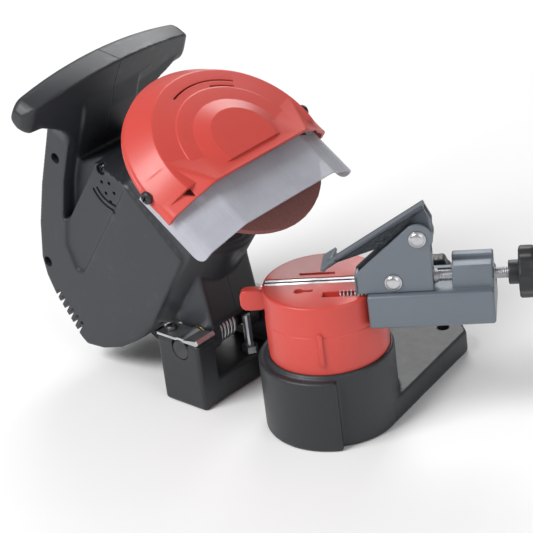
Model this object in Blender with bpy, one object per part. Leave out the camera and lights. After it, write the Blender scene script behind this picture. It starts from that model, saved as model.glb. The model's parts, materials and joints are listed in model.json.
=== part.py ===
"""Electric chainsaw sharpener: a bench grinder for saw chain, modelled as its separate pieces.

Metres, +Z up. The origin lies on the underside of the base, straight below the hinge pin of the grinding head.
+X runs from the hinge to the swivelling vise, and +Y to the far end of the base flange.
"""

import math

import bmesh
import bpy
from mathutils import Matrix, Vector

# General clearances and fineness
GAP = 0.0003
OVERRUN = 0.002
ROUND_STEPS = 32
SMALL_STEPS = 12
CORNER_STEPS = 4
SHARP_ANGLE = math.radians(35)
SIDES = (("near", -1), ("far", 1))

# Base casting
CUP_FROM_PIN = 0.079
CUP_RADIUS = 0.0347
CUP_HEIGHT = 0.044
CUP_WALL = 0.0047
CUP_RIM_WALL = 0.0017
CUP_FLOOR = 0.030
CUP_FLOOR_THICKNESS = 0.006
SECTOR_RADIUS = 0.039
SECTOR_HEIGHT = 0.0416
SECTOR_START = math.radians(-45)
SECTOR_END = math.radians(-200)
FLANGE_THICKNESS = 0.0137
FLANGE_WALL = 0.004
FLANGE_TIP = (0.0197, 0.0918)
FLANGE_END = 0.098
FLANGE_NEAR_EDGE = 0.012
FLANGE_CORNER = 0.008
BOLT_HOLE_RADIUS = 0.0035
BOLT_BOSS_RADIUS = 0.0078
BOLT_FROM_END = 0.0104
BOLT_SPACING = 0.060
BOLT_FROM_CUP = 0.0062
BAR_REAR = 0.0177
BAR_FRONT = 0.0137
BAR_HEIGHT = 0.0158
BLOCK_INNER = 0.0216
BLOCK_OUTER = 0.036
BLOCK_HEIGHT = 0.0407
BLOCK_EDGE = 0.0015

# Hinge of the head
PIN_HEIGHT = 0.0357
PIN_RADIUS = 0.00575
PIN_CHAMFER = 0.0006
STRAP_SHEET = 0.0015
STRAP_WIDTH = 0.0138
STRAP_REAR = 0.0172
STRAP_FRONT = 0.0132
STRAP_LIP = 0.003
STRAP_SCREW_FROM_PIN = 0.0123
SCREW_RADIUS = 0.0017
SCREW_HEAD_RADIUS = 0.0033
SCREW_HEAD_HEIGHT = 0.0022
STRAP_SCREW_DEPTH = 0.012
STOP_SCREW_RADIUS = 0.0025
STOP_SCREW_FORWARD = 0.0092
STOP_SCREW_SIDE = 0.0085
STOP_SCREW_TOP = 0.0404
STOP_SCREW_DEPTH = 0.008
STOP_NUT_RADIUS = 0.0046
STOP_NUT_HEIGHT = 0.004
RETURN_WIRE_RADIUS = 0.0009
RETURN_COIL_RADIUS = 0.0074
RETURN_TURNS = 5
RETURN_PITCH = 0.0026
RETURN_COIL_START = -0.0110
RETURN_ARM = 0.0150
CURL_POINTS = 9

# Grinding head, measured from the wheel centre: along the spindle, across, and up the back
HEAD_TILT = math.radians(54)
WHEEL_ALONG = 0.1010
WHEEL_UP = 0.0430
HEAD_LENGTH = 0.170
HEAD_HEIGHT = 0.100
HOUSING_HALF_WIDTH = 0.030
HOUSING_WALL = 0.003
HOUSING_EDGE = 0.004
SPLIT_GAP = 0.0003
BARREL_RADIUS = 0.039
BARREL_RISE = 0.009
BARREL_FRONT = 0.041
BARREL_REAR = 0.112
BARREL_EDGE = 0.004
BARREL_HALF_WIDTH = 0.0282
NOSE_RADIUS = 0.026
NOSE_FRONT = 0.0095
PANEL_DEPTH = 0.0015
VALLEY_DEPTH = 0.009
LEG_HALF_WIDTH = 0.020
LEG_CHANNEL_HALF_WIDTH = 0.0122
KNUCKLE_RADIUS = 0.0098
LEG_CHANNEL_RADIUS = 0.0125
BUSH_WALL = 0.0012
RING_BOSS_RADIUS = 0.0038
RING_BOSS_HEIGHT = 0.001
RING_HOLE_RADIUS = 0.0018
RING_RISE = 0.0173
RING_BACK = 0.001
REAR_SLOTS = 6
REAR_SLOT_WIDTH = 0.0022
REAR_SLOT_DEPTH = 0.006
TBAR_HALF_LENGTH = 0.0645
TBAR_STEPS = 14
TBAR_TOP = -0.010
TBAR_MID_THICKNESS = 0.034
TBAR_END_THICKNESS = 0.017
TBAR_MID_DEPTH = 0.019
TBAR_END_DEPTH = 0.011
TBAR_BACK_DROP = 0.009
TBAR_FRONT_SHARE = 0.868
TBAR_SWEEP = 0.014
TBAR_LIFT = 0.002
HOUSING_SCREW_RADIUS = 0.0016
HOUSING_SCREW_HEAD = 0.0029
HOUSING_SCREW_LENGTH = 0.016
HOUSING_BOSS_RADIUS = 0.0055

# Outlines of the housing as shares of its length and height, chosen by eye
BODY_SHARES = (
    (0.318, -0.160), (0.272, 0.338), (0.303, 0.598), (0.431, 0.735), (0.252, 0.800), (0.110, 0.880),
    (0.110, 1.000), (0.235, 1.000), (0.366, 0.947), (0.579, 0.840), (0.729, 0.746), (0.851, 0.641),
    (0.901, 0.558), (0.942, 0.442), (0.996, 0.189), (0.999, 0.122), (0.947, 0.017), (0.872, -0.079),
    (0.772, -0.154), (0.653, -0.190), (0.500, -0.175),
)
PANEL_SHARES = ((0.278, 0.345), (0.309, 0.595), (0.609, 0.603), (0.706, 0.529), (0.763, 0.393), (0.735, 0.345))
VALLEY_SHARES = ((0.150, 0.900), (0.292, 0.588), (0.590, 0.588), (0.636, 0.606), (0.487, 0.710), (0.252, 0.822))
CHAMBER_SHARES = (
    (0.790, 0.380), (0.640, 0.700), (0.440, 0.780), (0.280, 0.870), (0.280, 0.930),
    (0.570, 0.790), (0.715, 0.705), (0.835, 0.605), (0.880, 0.530), (0.915, 0.430), (0.962, 0.190),
    (0.930, 0.060), (0.865, -0.025), (0.790, -0.050),
)
SCREW_SHARES = ((0.433, 0.821), (0.844, 0.587), (0.314, 0.539))
SLOT_START_SHARES = (0.904, 0.438)
SLOT_END_SHARES = (0.933, 0.214)
LEG_SHARES = (
    (0.340, -0.050), (0.340, -0.200), (0.397, -0.268), (0.508, -0.460), (0.535, -0.470), (0.640, -0.385),
    (0.600, -0.200), (0.560, -0.050),
)

# Motor
STATOR_RADIUS = 0.026
STATOR_BORE = 0.0158
STATOR_YOKE = 0.005
STACK_FRONT = 0.060
STACK_LENGTH = 0.038
POLE_HALF_ANGLE = math.radians(50)
COIL_HALF_ANGLE = math.radians(68)
COIL_END_LENGTH = 0.006
ARMATURE_RADIUS = 0.0152
ARMATURE_SLOTS = 12
ARMATURE_SLOT_DEPTH = 0.004
SLOT_BAR_SHARE = 0.06
TOOTH_TIP_SHARE = 0.36
SLOT_FLOOR_SHARE = 0.42
SHAFT_RADIUS = 0.004
SHAFT_FRONT = 0.0105
SHAFT_REAR = 0.1295
BEARING_RADIUS = 0.011
BEARING_WIDTH = 0.007
FRONT_BEARING = 0.033
REAR_BEARING = 0.1225
COMMUTATOR_RADIUS = 0.0095
COMMUTATOR_FRONT = 0.106
COMMUTATOR_LENGTH = 0.011
BRUSH_WIDTH = 0.0055
BRUSH_LENGTH = 0.010
HOLDER_WALL = 0.0012
FAN_RADIUS = 0.0235
FAN_FRONT = 0.044
FAN_DEPTH = 0.0095
FAN_DISC = 0.002
FAN_HUB_RADIUS = 0.008
FAN_BLADES = 9
FAN_BLADE = 0.0014
WINDING_RADIUS = 0.0135
WINDING_LENGTH = 0.005

# Grinding wheel and what clamps it
WHEEL_RADIUS = 0.050
WHEEL_WIDTH = 0.0032
WHEEL_BORE = 0.005
WHEEL_EDGE = 0.0006
FLANGE_DISC_RADIUS = 0.0145
FLANGE_DISC_THICKNESS = 0.0026
NUT_RADIUS = 0.0075
NUT_THICKNESS = 0.004

# Wheel guard and clear shield
GUARD_RADIUS = 0.061
GUARD_RIM = 0.001
GUARD_FACE_RADIUS = 0.050
GUARD_FACE = 0.0135
GUARD_RING_RADIUS = 0.0277
GUARD_RING = 0.0153
GUARD_CAP_RADIUS = 0.019
GUARD_CAP = 0.019
GUARD_BACK = 0.004
GUARD_WALL = 0.0022
GUARD_DOME_BOTTOM = -0.008
HOOD_TOP = 0.010
HOOD_BOTTOM = -0.014
HOOD_FRONT = 0.019
HOOD_FRONT_HALF = 0.036
HOOD_SIDE = 0.002
VENT_WIDTH = 0.001
VENT_RADII = (0.042, 0.038)
VENT_STARTS = (math.radians(52), math.radians(52))
VENT_ENDS = (math.radians(110), math.radians(74))
BACKPLATE_THICKNESS = 0.002
BACKPLATE_FRONT = 0.0075
BACKPLATE_HOLE = 0.012
BACKPLATE_EAR = 0.005
SHIELD_SHEET = 0.0012
SHIELD_TOP = 0.0098
SHIELD_BOTTOM = -0.040
SHIELD_REAR = 0.011
SHIELD_CORNER = 0.007
SIDE_SCREW_RISE = 0.0042
SIDE_SCREW_BACK = 0.0008
SIDE_SCREW_HEAD = 0.0036
SIDE_SCREW_HEAD_HEIGHT = 0.0024
SIDE_SCREW_LENGTH = 0.0075
GUARD_SCREW_CIRCLE = 0.019
GUARD_SCREW_START = math.radians(45)
GUARD_SCREW_COUNT = 2

# Switch and cord gland, on the far side
SWITCH_SHARES = (0.871, 0.260)
SWITCH_HALF_LENGTH = 0.0095
SWITCH_HALF_WIDTH = 0.0062
SWITCH_DEPTH = 0.016
SWITCH_BEZEL = 0.0018
SWITCH_BEZEL_EDGE = 0.0016
ROCKER_HALF_LENGTH = 0.0074
ROCKER_HALF_WIDTH = 0.0042
ROCKER_RISE = 0.0022
ROCKER_DEPTH = 0.005
GLAND_SHARES = (0.882, 0.0)
GLAND_RADIUS = 0.005
GLAND_TIP_RADIUS = 0.004
GLAND_BORE = 0.0032
GLAND_LENGTH = 0.014
GLAND_SEAT = 0.008

# Turntable, measured from the cup axis
TABLE_RADIUS = 0.0326
TABLE_TOP = 0.083
TABLE_HOLLOW_RADIUS = 0.0286
TABLE_HOLLOW_TOP = 0.062
TABLE_EDGE = 0.0012
TABLE_TURN = math.radians(35)
BOSS_RADIUS = 0.010
POINTER_WIDTH = 0.0027
POINTER_BOTTOM = 0.049
POINTER_TOP = 0.068
POINTER_PROUD = 0.0012
FIN_REACH = 0.045
FIN_HALF_WIDTH = 0.003
FIN_BOTTOM = 0.068
FIN_TOP = 0.080
PIVOT_RADIUS = 0.004
PIVOT_HEAD_RADIUS = 0.0065
PIVOT_HEAD_HEIGHT = 0.0045
PIVOT_BOTTOM = 0.005
WASHER_RADIUS = 0.009
WASHER_THICKNESS = 0.0012
KNOB_RADIUS = 0.022
KNOB_HUB_RADIUS = 0.009
KNOB_BOTTOM = 0.008
KNOB_LOBES = 5
KNOB_LOBE_DEPTH_SHARE = 0.14

# Vise
BEAM_START = 0.0258
BEAM_END = 0.0914
BEAM_FRONT = 0.026
BEAM_BACK = 0.008
BEAM_BOTTOM = 0.066
BEAM_TOP = 0.085
BEAM_EDGE = 0.0012
TONGUE_START = 0.018
TONGUE_HALF_WIDTH = 0.012
TONGUE_BOTTOM = 0.0665
TONGUE_THICKNESS = 0.0042
BLOCK_START = 0.070
SCREW_BLOCK_FRONT = 0.021
SCREW_BLOCK_BACK = 0.012
SCREW_BLOCK_TOP = 0.098
LEDGE_BACK = 0.006
LEDGE_TOP = 0.100
GROOVE_HALF_WIDTH = 0.003
GROOVE_BOTTOM = 0.079
GROOVE_END = 0.0575
JAW_GAP = 0.0016
JAW_SHEET = 0.0024
JAW_BOTTOM = 0.0765
JAW_START = 0.031
JAW_END = 0.090
JAW_SCREW_ALONG = 0.060
JAW_SCREW_RISE = 0.0797
JAW_SCREW_RADIUS = 0.002
JAW_KNOB_RADIUS = 0.0075
JAW_KNOB_WIDTH = 0.009
JAW_KNOB_GAP = 0.002

# Carriage, stop lever and adjusting screw
CARRIAGE_MIDDLE = 0.0165
CARRIAGE_HALF_WIDTH = 0.006
CARRIAGE_SHEET = 0.002
CARRIAGE_START = 0.020
CARRIAGE_END = 0.0605
CARRIAGE_PLATE = 0.0012
CARRIAGE_FRONT_TOP = 0.0958
CARRIAGE_WEB_TOP = 0.104
LEVER_PIVOT = (0.0543, 0.1154)
EAR_RADIUS = 0.008
EAR_START = math.radians(-20)
EAR_END = math.radians(122)
FOOT_START = 0.0345
FOOT_END = 0.050
FOOT_CLEARANCE = 0.0004
RIVET_ALONG = 0.040
RIVET_RISE = 0.0913
RIVET_RADIUS = 0.002
RIVET_HEAD_RADIUS = 0.0045
RIVET_HEAD_HEIGHT = 0.0016
RIVET_CROWN_SHARES = (0.6, 0.85)
RIVET_EDGE_SHARE = 0.3
LEVER_SHEET = 0.0015
LEVER_TIP = (0.006, 0.1015)
LEVER_TAIL = (0.058, 0.133)
LEVER_TAIL_LOW = (0.062, 0.124)
LEVER_TIP_DROP = 0.005
LEVER_TIP_REACH = 0.004
LEVER_TIP_BACK = 0.003
LEVER_ROUND_START = math.radians(20)
LEVER_ROUND_END = math.radians(-160)
LEVER_SHARES = ((0.075, 0.080), (0.575, 0.300), (0.790, 0.330))
CARRIAGE_TRAVEL = 0.007
SPRING_RADIUS = 0.0024
SPRING_WIRE_RADIUS = 0.00035
SPRING_TURNS = 12
SPRING_LENGTH = 0.0240
ADJUST_RADIUS = 0.003
ADJUST_RISE = 0.091
ADJUST_START = 0.052
ADJUST_HUB_START = 0.099
ADJUST_KNOB_START = 0.1045
ADJUST_KNOB_END = 0.115
ADJUST_HUB_RADIUS = 0.0063
ADJUST_KNOB_RADIUS = 0.0137
ADJUST_DOME = 0.0036
ADJUST_LOBES = 10
ADJUST_LOBE_SHARE = 0.06
ADJUST_DOME_SHARE = 0.7
COLLAR_RADIUS = 0.0037
COLLAR_WIDTH = 0.0018

# Colours, with roughness and metallic values
FINISHES = {
    "black_casting": ((0.030, 0.032, 0.035), 0.55, 0.0),
    "black_housing": ((0.045, 0.047, 0.053), 0.50, 0.0),
    "red_plastic": ((0.62, 0.055, 0.045), 0.42, 0.0),
    "grey_paint": ((0.17, 0.20, 0.23), 0.45, 0.3),
    "bright_steel": ((0.62, 0.62, 0.64), 0.28, 1.0),
    "dark_steel": ((0.08, 0.08, 0.085), 0.40, 1.0),
    "stone": ((0.26, 0.075, 0.065), 0.90, 0.0),
    "clear_shield": ((0.62, 0.64, 0.70), 0.15, 0.0),
    "black_plastic": ((0.025, 0.026, 0.029), 0.40, 0.0),
    "copper": ((0.72, 0.33, 0.18), 0.35, 1.0),
    "lamination": ((0.33, 0.34, 0.36), 0.45, 1.0),
    "carbon": ((0.04, 0.04, 0.042), 0.70, 0.0),
    "brass": ((0.70, 0.52, 0.22), 0.35, 1.0),
}


def clear_scene():
    """Removes every object of the open scene."""
    for old in list(bpy.data.objects):
        bpy.data.objects.remove(old, do_unlink=True)


def finish_material(name):
    """Gives the material of a finish, made the first time it is asked for."""
    if name in bpy.data.materials:
        return bpy.data.materials[name]
    colour, roughness, metallic = FINISHES[name]
    material = bpy.data.materials.new(name)
    material.use_nodes = True
    shader = material.node_tree.nodes["Principled BSDF"]
    shader.inputs["Base Color"].default_value = (*colour, 1.0)
    shader.inputs["Roughness"].default_value = roughness
    shader.inputs["Metallic"].default_value = metallic
    return material


def shape_from(bm):
    """Puts a bmesh into a new object at the origin, with its faces turned outward."""
    bmesh.ops.recalc_face_normals(bm, faces=bm.faces)
    mesh = bpy.data.meshes.new("shape")
    bm.to_mesh(mesh)
    bm.free()
    shape = bpy.data.objects.new("shape", mesh)
    bpy.context.scene.collection.objects.link(shape)
    return shape


PLANES = {
    "XY": lambda a, b, c: (a, b, c),
    "XZ": lambda a, b, c: (a, c, b),
    "YZ": lambda a, b, c: (c, a, b),
}


def prism(outline, low, high, plane="XY"):
    """Extrudes an outline, drawn in a plane, from low to high along that plane's normal."""
    place = PLANES[plane]
    bm = bmesh.new()
    bottom = [bm.verts.new(place(a, b, low)) for a, b in outline]
    top = [bm.verts.new(place(a, b, high)) for a, b in outline]
    bm.faces.new(bottom)
    bm.faces.new(top)
    for i in range(len(outline)):
        after = (i + 1) % len(outline)
        bm.faces.new((bottom[i], bottom[after], top[after], top[i]))
    return shape_from(bm)


def block(low, high):
    """A box between two corners."""
    outline = ((low[0], low[1]), (high[0], low[1]), (high[0], high[1]), (low[0], high[1]))
    return prism(outline, low[2], high[2])


def turned(profile, axis="Z", steps=ROUND_STEPS):
    """Turns a closed profile of (radius, station) points about an axis."""
    bm = bmesh.new()
    rings = []
    for radius, station in profile:
        count = steps if radius > 0 else 1
        ring = []
        for i in range(count):
            angle = math.tau * i / steps
            a, b = radius * math.cos(angle), radius * math.sin(angle)
            place = {"X": (station, a, b), "Y": (b, station, a), "Z": (a, b, station)}[axis]
            ring.append(bm.verts.new(place))
        rings.append(ring)
    for k, ring in enumerate(rings):
        other = rings[(k + 1) % len(rings)]
        if len(ring) == 1 and len(other) == 1:
            continue
        for i in range(steps):
            j = (i + 1) % steps
            corners = [ring[i % len(ring)], ring[j % len(ring)], other[j % len(other)], other[i % len(other)]]
            bm.faces.new(list(dict.fromkeys(corners)))
    return shape_from(bm)


def rod(radius, low, high, axis="Z", steps=SMALL_STEPS):
    """A plain round bar along an axis."""
    return turned(((0, low), (radius, low), (radius, high), (0, high)), axis, steps)


def ring(inner, outer, low, high, axis="Z", steps=ROUND_STEPS):
    """A round tube along an axis."""
    return turned(((inner, low), (outer, low), (outer, high), (inner, high)), axis, steps)


def bake(shape):
    """Applies a shape's modifiers to its mesh."""
    depsgraph = bpy.context.evaluated_depsgraph_get()
    mesh = bpy.data.meshes.new_from_object(shape.evaluated_get(depsgraph))
    shape.modifiers.clear()
    shape.data = mesh
    return shape


def in_triangles(shape):
    """Splits a shape's faces into triangles, which are always flat."""
    bm = bmesh.new()
    bm.from_mesh(shape.data)
    bmesh.ops.triangulate(bm, faces=bm.faces)
    bm.to_mesh(shape.data)
    bm.free()
    return shape


def is_closed(shape):
    """Whether each edge of a shape has two faces."""
    bm = bmesh.new()
    bm.from_mesh(shape.data)
    closed = all(len(edge.link_faces) == 2 for edge in bm.edges)
    bm.free()
    return closed


def combine(shape, tool, operation):
    """Joins, cuts or keeps the overlap of a shape with a tool, which it uses up.

    The manifold solver takes over where the exact one leaves an open edge.
    """
    before = shape.data
    for solver in ("EXACT", "MANIFOLD"):
        shape.data = before
        modifier = shape.modifiers.new(operation, "BOOLEAN")
        modifier.operation = operation
        modifier.solver = solver
        modifier.object = tool
        bake(shape)
        if is_closed(shape):
            break
    bpy.data.objects.remove(tool, do_unlink=True)
    return shape


def join(shape, *tools):
    """Unites a shape with others."""
    for tool in tools:
        combine(shape, tool, "UNION")
    return shape


def cut(shape, *tools):
    """Cuts others out of a shape."""
    for tool in tools:
        combine(shape, tool, "DIFFERENCE")
    return shape


def keep(shape, tool):
    """Keeps what a shape shares with another."""
    return combine(shape, tool, "INTERSECT")


def soften(shape, width, steps=2):
    """Rounds a shape's sharp edges."""
    modifier = shape.modifiers.new("soften", "BEVEL")
    modifier.width = width
    modifier.segments = steps
    modifier.limit_method = "ANGLE"
    modifier.angle_limit = SHARP_ANGLE
    return in_triangles(bake(shape))


def moved(shape, offset):
    """Moves a shape's mesh."""
    shape.data.transform(Matrix.Translation(Vector(offset)))
    return shape


def spun(shape, angle, axis):
    """Turns a shape's mesh about an axis through the origin."""
    shape.data.transform(Matrix.Rotation(angle, 4, axis))
    return shape


def copied(shape):
    """A second shape with the same mesh."""
    twin = bpy.data.objects.new("shape", shape.data.copy())
    bpy.context.scene.collection.objects.link(twin)
    return twin


def piece(name, shape, finish, parent=None, offset=(0, 0, 0)):
    """Names a shape as a finished piece, on its parent's axis."""
    if any(offset):
        moved(shape, offset)
    shape.name = name
    shape.data.name = name
    shape.data.materials.clear()
    shape.data.materials.append(finish_material(finish))
    shape.data.shade_smooth()
    shape.data.set_sharp_from_angle(angle=SHARP_ANGLE)
    shape.parent = parent
    return shape


def axis_empty(name, location, turn=0.0, about="Z", parent=None):
    """An empty on a joint's axis, which its moving pieces are parented to."""
    empty = bpy.data.objects.new(name, None)
    bpy.context.scene.collection.objects.link(empty)
    empty.parent = parent
    empty.matrix_local = Matrix.Translation(Vector(location)) @ Matrix.Rotation(turn, 4, about)
    return empty


def arc(centre, radius, start, end, steps):
    """Points along an arc, both ends included."""
    angles = [start + (end - start) * i / steps for i in range(steps + 1)]
    return [(centre[0] + radius * math.cos(a), centre[1] + radius * math.sin(a)) for a in angles]


def rounded(outline, radius, steps=CORNER_STEPS):
    """An outline with each corner rounded."""
    points = []
    for i, corner in enumerate(outline):
        here = Vector(corner)
        before = Vector(outline[i - 1]) - here
        after = Vector(outline[(i + 1) % len(outline)]) - here
        half = before.angle(after) / 2
        reach = min(radius / math.tan(half), before.length / 2, after.length / 2)
        first = here + before.normalized() * reach
        last = here + after.normalized() * reach
        for k in range(steps + 1):
            share = k / steps
            point = first * (1 - share) ** 2 + here * 2 * share * (1 - share) + last * share ** 2
            points.append(tuple(point))
    return points


def sector(radius, start, end, steps, centre=(0, 0)):
    """Outline of a pie slice."""
    return [centre] + arc(centre, radius, start, end, steps)


def lobed(radius, share, lobes, steps):
    """Outline of a grip with soft lobes."""
    points = []
    for i in range(steps):
        angle = math.tau * i / steps
        reach = radius * (1 - share * (1 - math.cos(lobes * angle)) / 2)
        points.append((reach * math.cos(angle), reach * math.sin(angle)))
    return points


def coil_points(radius, pitch, turns, start_angle=0.0):
    """Points of a helix about X, from station zero."""
    count = turns * CURL_POINTS
    points = []
    for i in range(count + 1):
        angle = start_angle + math.tau * i / CURL_POINTS
        station = pitch * i / CURL_POINTS
        points.append((station, radius * math.cos(angle), radius * math.sin(angle)))
    return points


def wire(name, points, radius, finish, parent=None):
    """An unbroken round wire through points."""
    curve = bpy.data.curves.new(name, "CURVE")
    curve.dimensions = "3D"
    curve.bevel_depth = radius
    curve.bevel_resolution = 1
    curve.use_fill_caps = True
    spline = curve.splines.new("POLY")
    spline.points.add(len(points) - 1)
    for target, point in zip(spline.points, points):
        target.co = (*point, 1.0)
    shape = bpy.data.objects.new(name, curve)
    curve.materials.append(finish_material(finish))
    bpy.context.scene.collection.objects.link(shape)
    shape.parent = parent
    return shape


def report_self_gap(name, points, radius):
    """Prints the least gap between a wire's turns, measured on its points."""
    least = math.inf
    for i, first in enumerate(points):
        for other in points[i + CURL_POINTS - 2:]:
            least = min(least, math.dist(first, other))
    print(f"{name}: least gap between turns {(least - 2 * radius) * 1000:.2f} mm")


def base_outline():
    """Outline of the flange: tangent to the cup in front, and back to the hinge bar."""
    tip_distance = math.hypot(*FLANGE_TIP)
    tangent = math.atan2(FLANGE_TIP[1], FLANGE_TIP[0]) - math.acos(CUP_RADIUS / tip_distance)
    touch = (CUP_FROM_PIN + CUP_RADIUS * math.cos(tangent), CUP_RADIUS * math.sin(tangent))
    tip = (CUP_FROM_PIN + FLANGE_TIP[0], FLANGE_TIP[1])
    end = (tip[0] - FLANGE_CORNER, FLANGE_END)
    rear = (-BAR_REAR + FLANGE_CORNER, FLANGE_END)
    corner = (-BAR_REAR, FLANGE_END - FLANGE_CORNER)
    return [
        touch, tip, end, rear, corner, (-BAR_REAR, FLANGE_NEAR_EDGE),
        (CUP_FROM_PIN - CUP_RADIUS / 2, FLANGE_NEAR_EDGE), (CUP_FROM_PIN, 0),
    ]


def inset(outline, distance):
    """An outline drawn in by a distance, each corner along its bisector."""
    points = []
    area = sum(
        outline[i - 1][0] * outline[i][1] - outline[i][0] * outline[i - 1][1] for i in range(len(outline))
    )
    side = 1 if area > 0 else -1
    for i, corner in enumerate(outline):
        here = Vector(corner)
        before = (here - Vector(outline[i - 1])).normalized()
        after = (Vector(outline[(i + 1) % len(outline)]) - here).normalized()
        normal = Vector((-before.y - after.y, before.x + after.x)).normalized() * side
        lean = max(normal.dot(Vector((-before.y, before.x)) * side), 1e-6)
        points.append(tuple(here + normal * distance / lean))
    return points


def bolt_places():
    """The two bolt holes of the flange."""
    first = CUP_FROM_PIN + BOLT_FROM_CUP
    across = FLANGE_END - BOLT_FROM_END
    return [(first, across), (first - BOLT_SPACING, across)]


def base_casting():
    """Cup, flange, hinge bar and blocks, cast in one."""
    outline = base_outline()
    shape = soften(prism(outline, 0, FLANGE_THICKNESS), BLOCK_EDGE)
    cut(shape, prism(inset(outline, FLANGE_WALL), -OVERRUN, FLANGE_THICKNESS - FLANGE_WALL))
    bar = block((-BAR_REAR, -BLOCK_OUTER, 0), (BAR_FRONT, BLOCK_OUTER, BAR_HEIGHT))
    join(shape, soften(bar, BLOCK_EDGE, 1))
    for side in (-1, 1):
        low, high = sorted((side * BLOCK_INNER, side * BLOCK_OUTER))
        ear = block((-BAR_REAR, low, 0), (BAR_FRONT, high, BLOCK_HEIGHT))
        join(shape, soften(ear, BLOCK_EDGE, 1))
    centre = (CUP_FROM_PIN, 0, 0)
    slice_outline = sector(SECTOR_RADIUS, SECTOR_START, SECTOR_END, ROUND_STEPS // 2)
    cup = turned(((0, 0), (CUP_RADIUS, 0), (CUP_RADIUS, CUP_HEIGHT), (0, CUP_HEIGHT)))
    join(cup, prism(slice_outline, 0, SECTOR_HEIGHT))
    join(shape, moved(cup, centre))
    for x, y in bolt_places():
        join(shape, moved(rod(BOLT_BOSS_RADIUS, 0, FLANGE_THICKNESS - BLOCK_EDGE), (x, y, 0)))
        cut(shape, moved(rod(BOLT_HOLE_RADIUS, -OVERRUN, FLANGE_THICKNESS + OVERRUN), (x, y, 0)))
    floor_top = CUP_FLOOR + CUP_FLOOR_THICKNESS
    cut(
        shape,
        moved(rod(CUP_RADIUS - CUP_WALL, -OVERRUN, CUP_FLOOR, steps=ROUND_STEPS), centre),
        moved(rod(CUP_RADIUS - CUP_RIM_WALL, floor_top, CUP_HEIGHT + OVERRUN, steps=ROUND_STEPS), centre),
        moved(rod(PIVOT_RADIUS + GAP, CUP_FLOOR - OVERRUN, floor_top + OVERRUN), centre),
    )
    notch = rod(PIN_RADIUS + GAP, -BLOCK_OUTER - OVERRUN, BLOCK_OUTER + OVERRUN, "Y", SMALL_STEPS * 2)
    moved(notch, (0, 0, PIN_HEIGHT))
    reach = PIN_RADIUS + GAP
    slot = block((-reach, -BLOCK_OUTER - OVERRUN, PIN_HEIGHT), (reach, BLOCK_OUTER + OVERRUN, BLOCK_HEIGHT + OVERRUN))
    cut(shape, notch, slot)
    for side in (-1, 1):
        hole = rod(SCREW_RADIUS + GAP, BLOCK_HEIGHT - STRAP_SCREW_DEPTH - GAP, BLOCK_HEIGHT + OVERRUN)
        cut(shape, moved(hole, (-STRAP_SCREW_FROM_PIN, side * strap_middle(), 0)))
    stop = rod(STOP_SCREW_RADIUS + GAP, STOP_SCREW_DEPTH - GAP, BAR_HEIGHT + OVERRUN)
    cut(shape, moved(stop, (STOP_SCREW_FORWARD, STOP_SCREW_SIDE, 0)))
    return piece("base_casting", shape, "black_casting")


def strap_middle():
    """Middle of each hinge block across the base."""
    return (BLOCK_INNER + BLOCK_OUTER) / 2


def hinge_pin():
    """The pin that the head tilts on, held down by the straps."""
    end = BLOCK_OUTER
    profile = (
        (0, -end), (PIN_RADIUS - PIN_CHAMFER, -end), (PIN_RADIUS, -end + PIN_CHAMFER),
        (PIN_RADIUS, end - PIN_CHAMFER), (PIN_RADIUS - PIN_CHAMFER, end), (0, end),
    )
    shape = turned(profile, "Y", SMALL_STEPS * 2)
    return piece("hinge_pin", moved(shape, (0, 0, PIN_HEIGHT)), "dark_steel")


def saddle_strap(name, side):
    """A bent strap over the pin, with a lip turned up in front."""
    low = BLOCK_HEIGHT + GAP
    inner = PIN_RADIUS + GAP
    rise = PIN_HEIGHT
    foot = math.asin(min(1.0, (low - rise) / inner))
    over = arc((0, rise), inner, math.pi - foot, foot, SMALL_STEPS // 2)
    outer = inner + STRAP_SHEET
    foot_outer = math.asin(min(1.0, (low + STRAP_SHEET - rise) / outer))
    back = arc((0, rise), outer, foot_outer, math.pi - foot_outer, SMALL_STEPS // 2)
    top = low + STRAP_SHEET
    outline = [(-STRAP_REAR, low)] + over + [
        (STRAP_FRONT, low), (STRAP_FRONT + STRAP_LIP / 2, low + STRAP_LIP),
        (STRAP_FRONT + STRAP_LIP / 2 - STRAP_SHEET, top + STRAP_LIP), (STRAP_FRONT - STRAP_SHEET / 2, top),
    ] + back + [(-STRAP_REAR, top)]
    middle = side * strap_middle()
    shape = prism(outline, middle - STRAP_WIDTH / 2, middle + STRAP_WIDTH / 2, "XZ")
    hole = rod(SCREW_RADIUS + GAP, low - OVERRUN, top + OVERRUN)
    cut(shape, moved(hole, (-STRAP_SCREW_FROM_PIN, middle, 0)))
    return piece(name, shape, "bright_steel")


def pan_screw(radius, head_radius, head_height, length, axis="Z", steps=SMALL_STEPS):
    """A pan head screw, its head standing on station zero."""
    edge = head_height / 3
    profile = (
        (0, -length), (radius, -length), (radius, 0), (head_radius, 0), (head_radius, head_height - edge),
        (head_radius - edge, head_height), (0, head_height),
    )
    return turned(profile, axis, steps)


def strap_screws():
    """The two screws that hold the straps."""
    seat = BLOCK_HEIGHT + GAP + STRAP_SHEET + GAP
    for label, side in SIDES:
        screw = pan_screw(SCREW_RADIUS, SCREW_HEAD_RADIUS, SCREW_HEAD_HEIGHT, STRAP_SCREW_DEPTH)
        moved(screw, (-STRAP_SCREW_FROM_PIN, side * strap_middle(), seat))
        piece(f"strap_screw_{label}", screw, "dark_steel")


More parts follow.
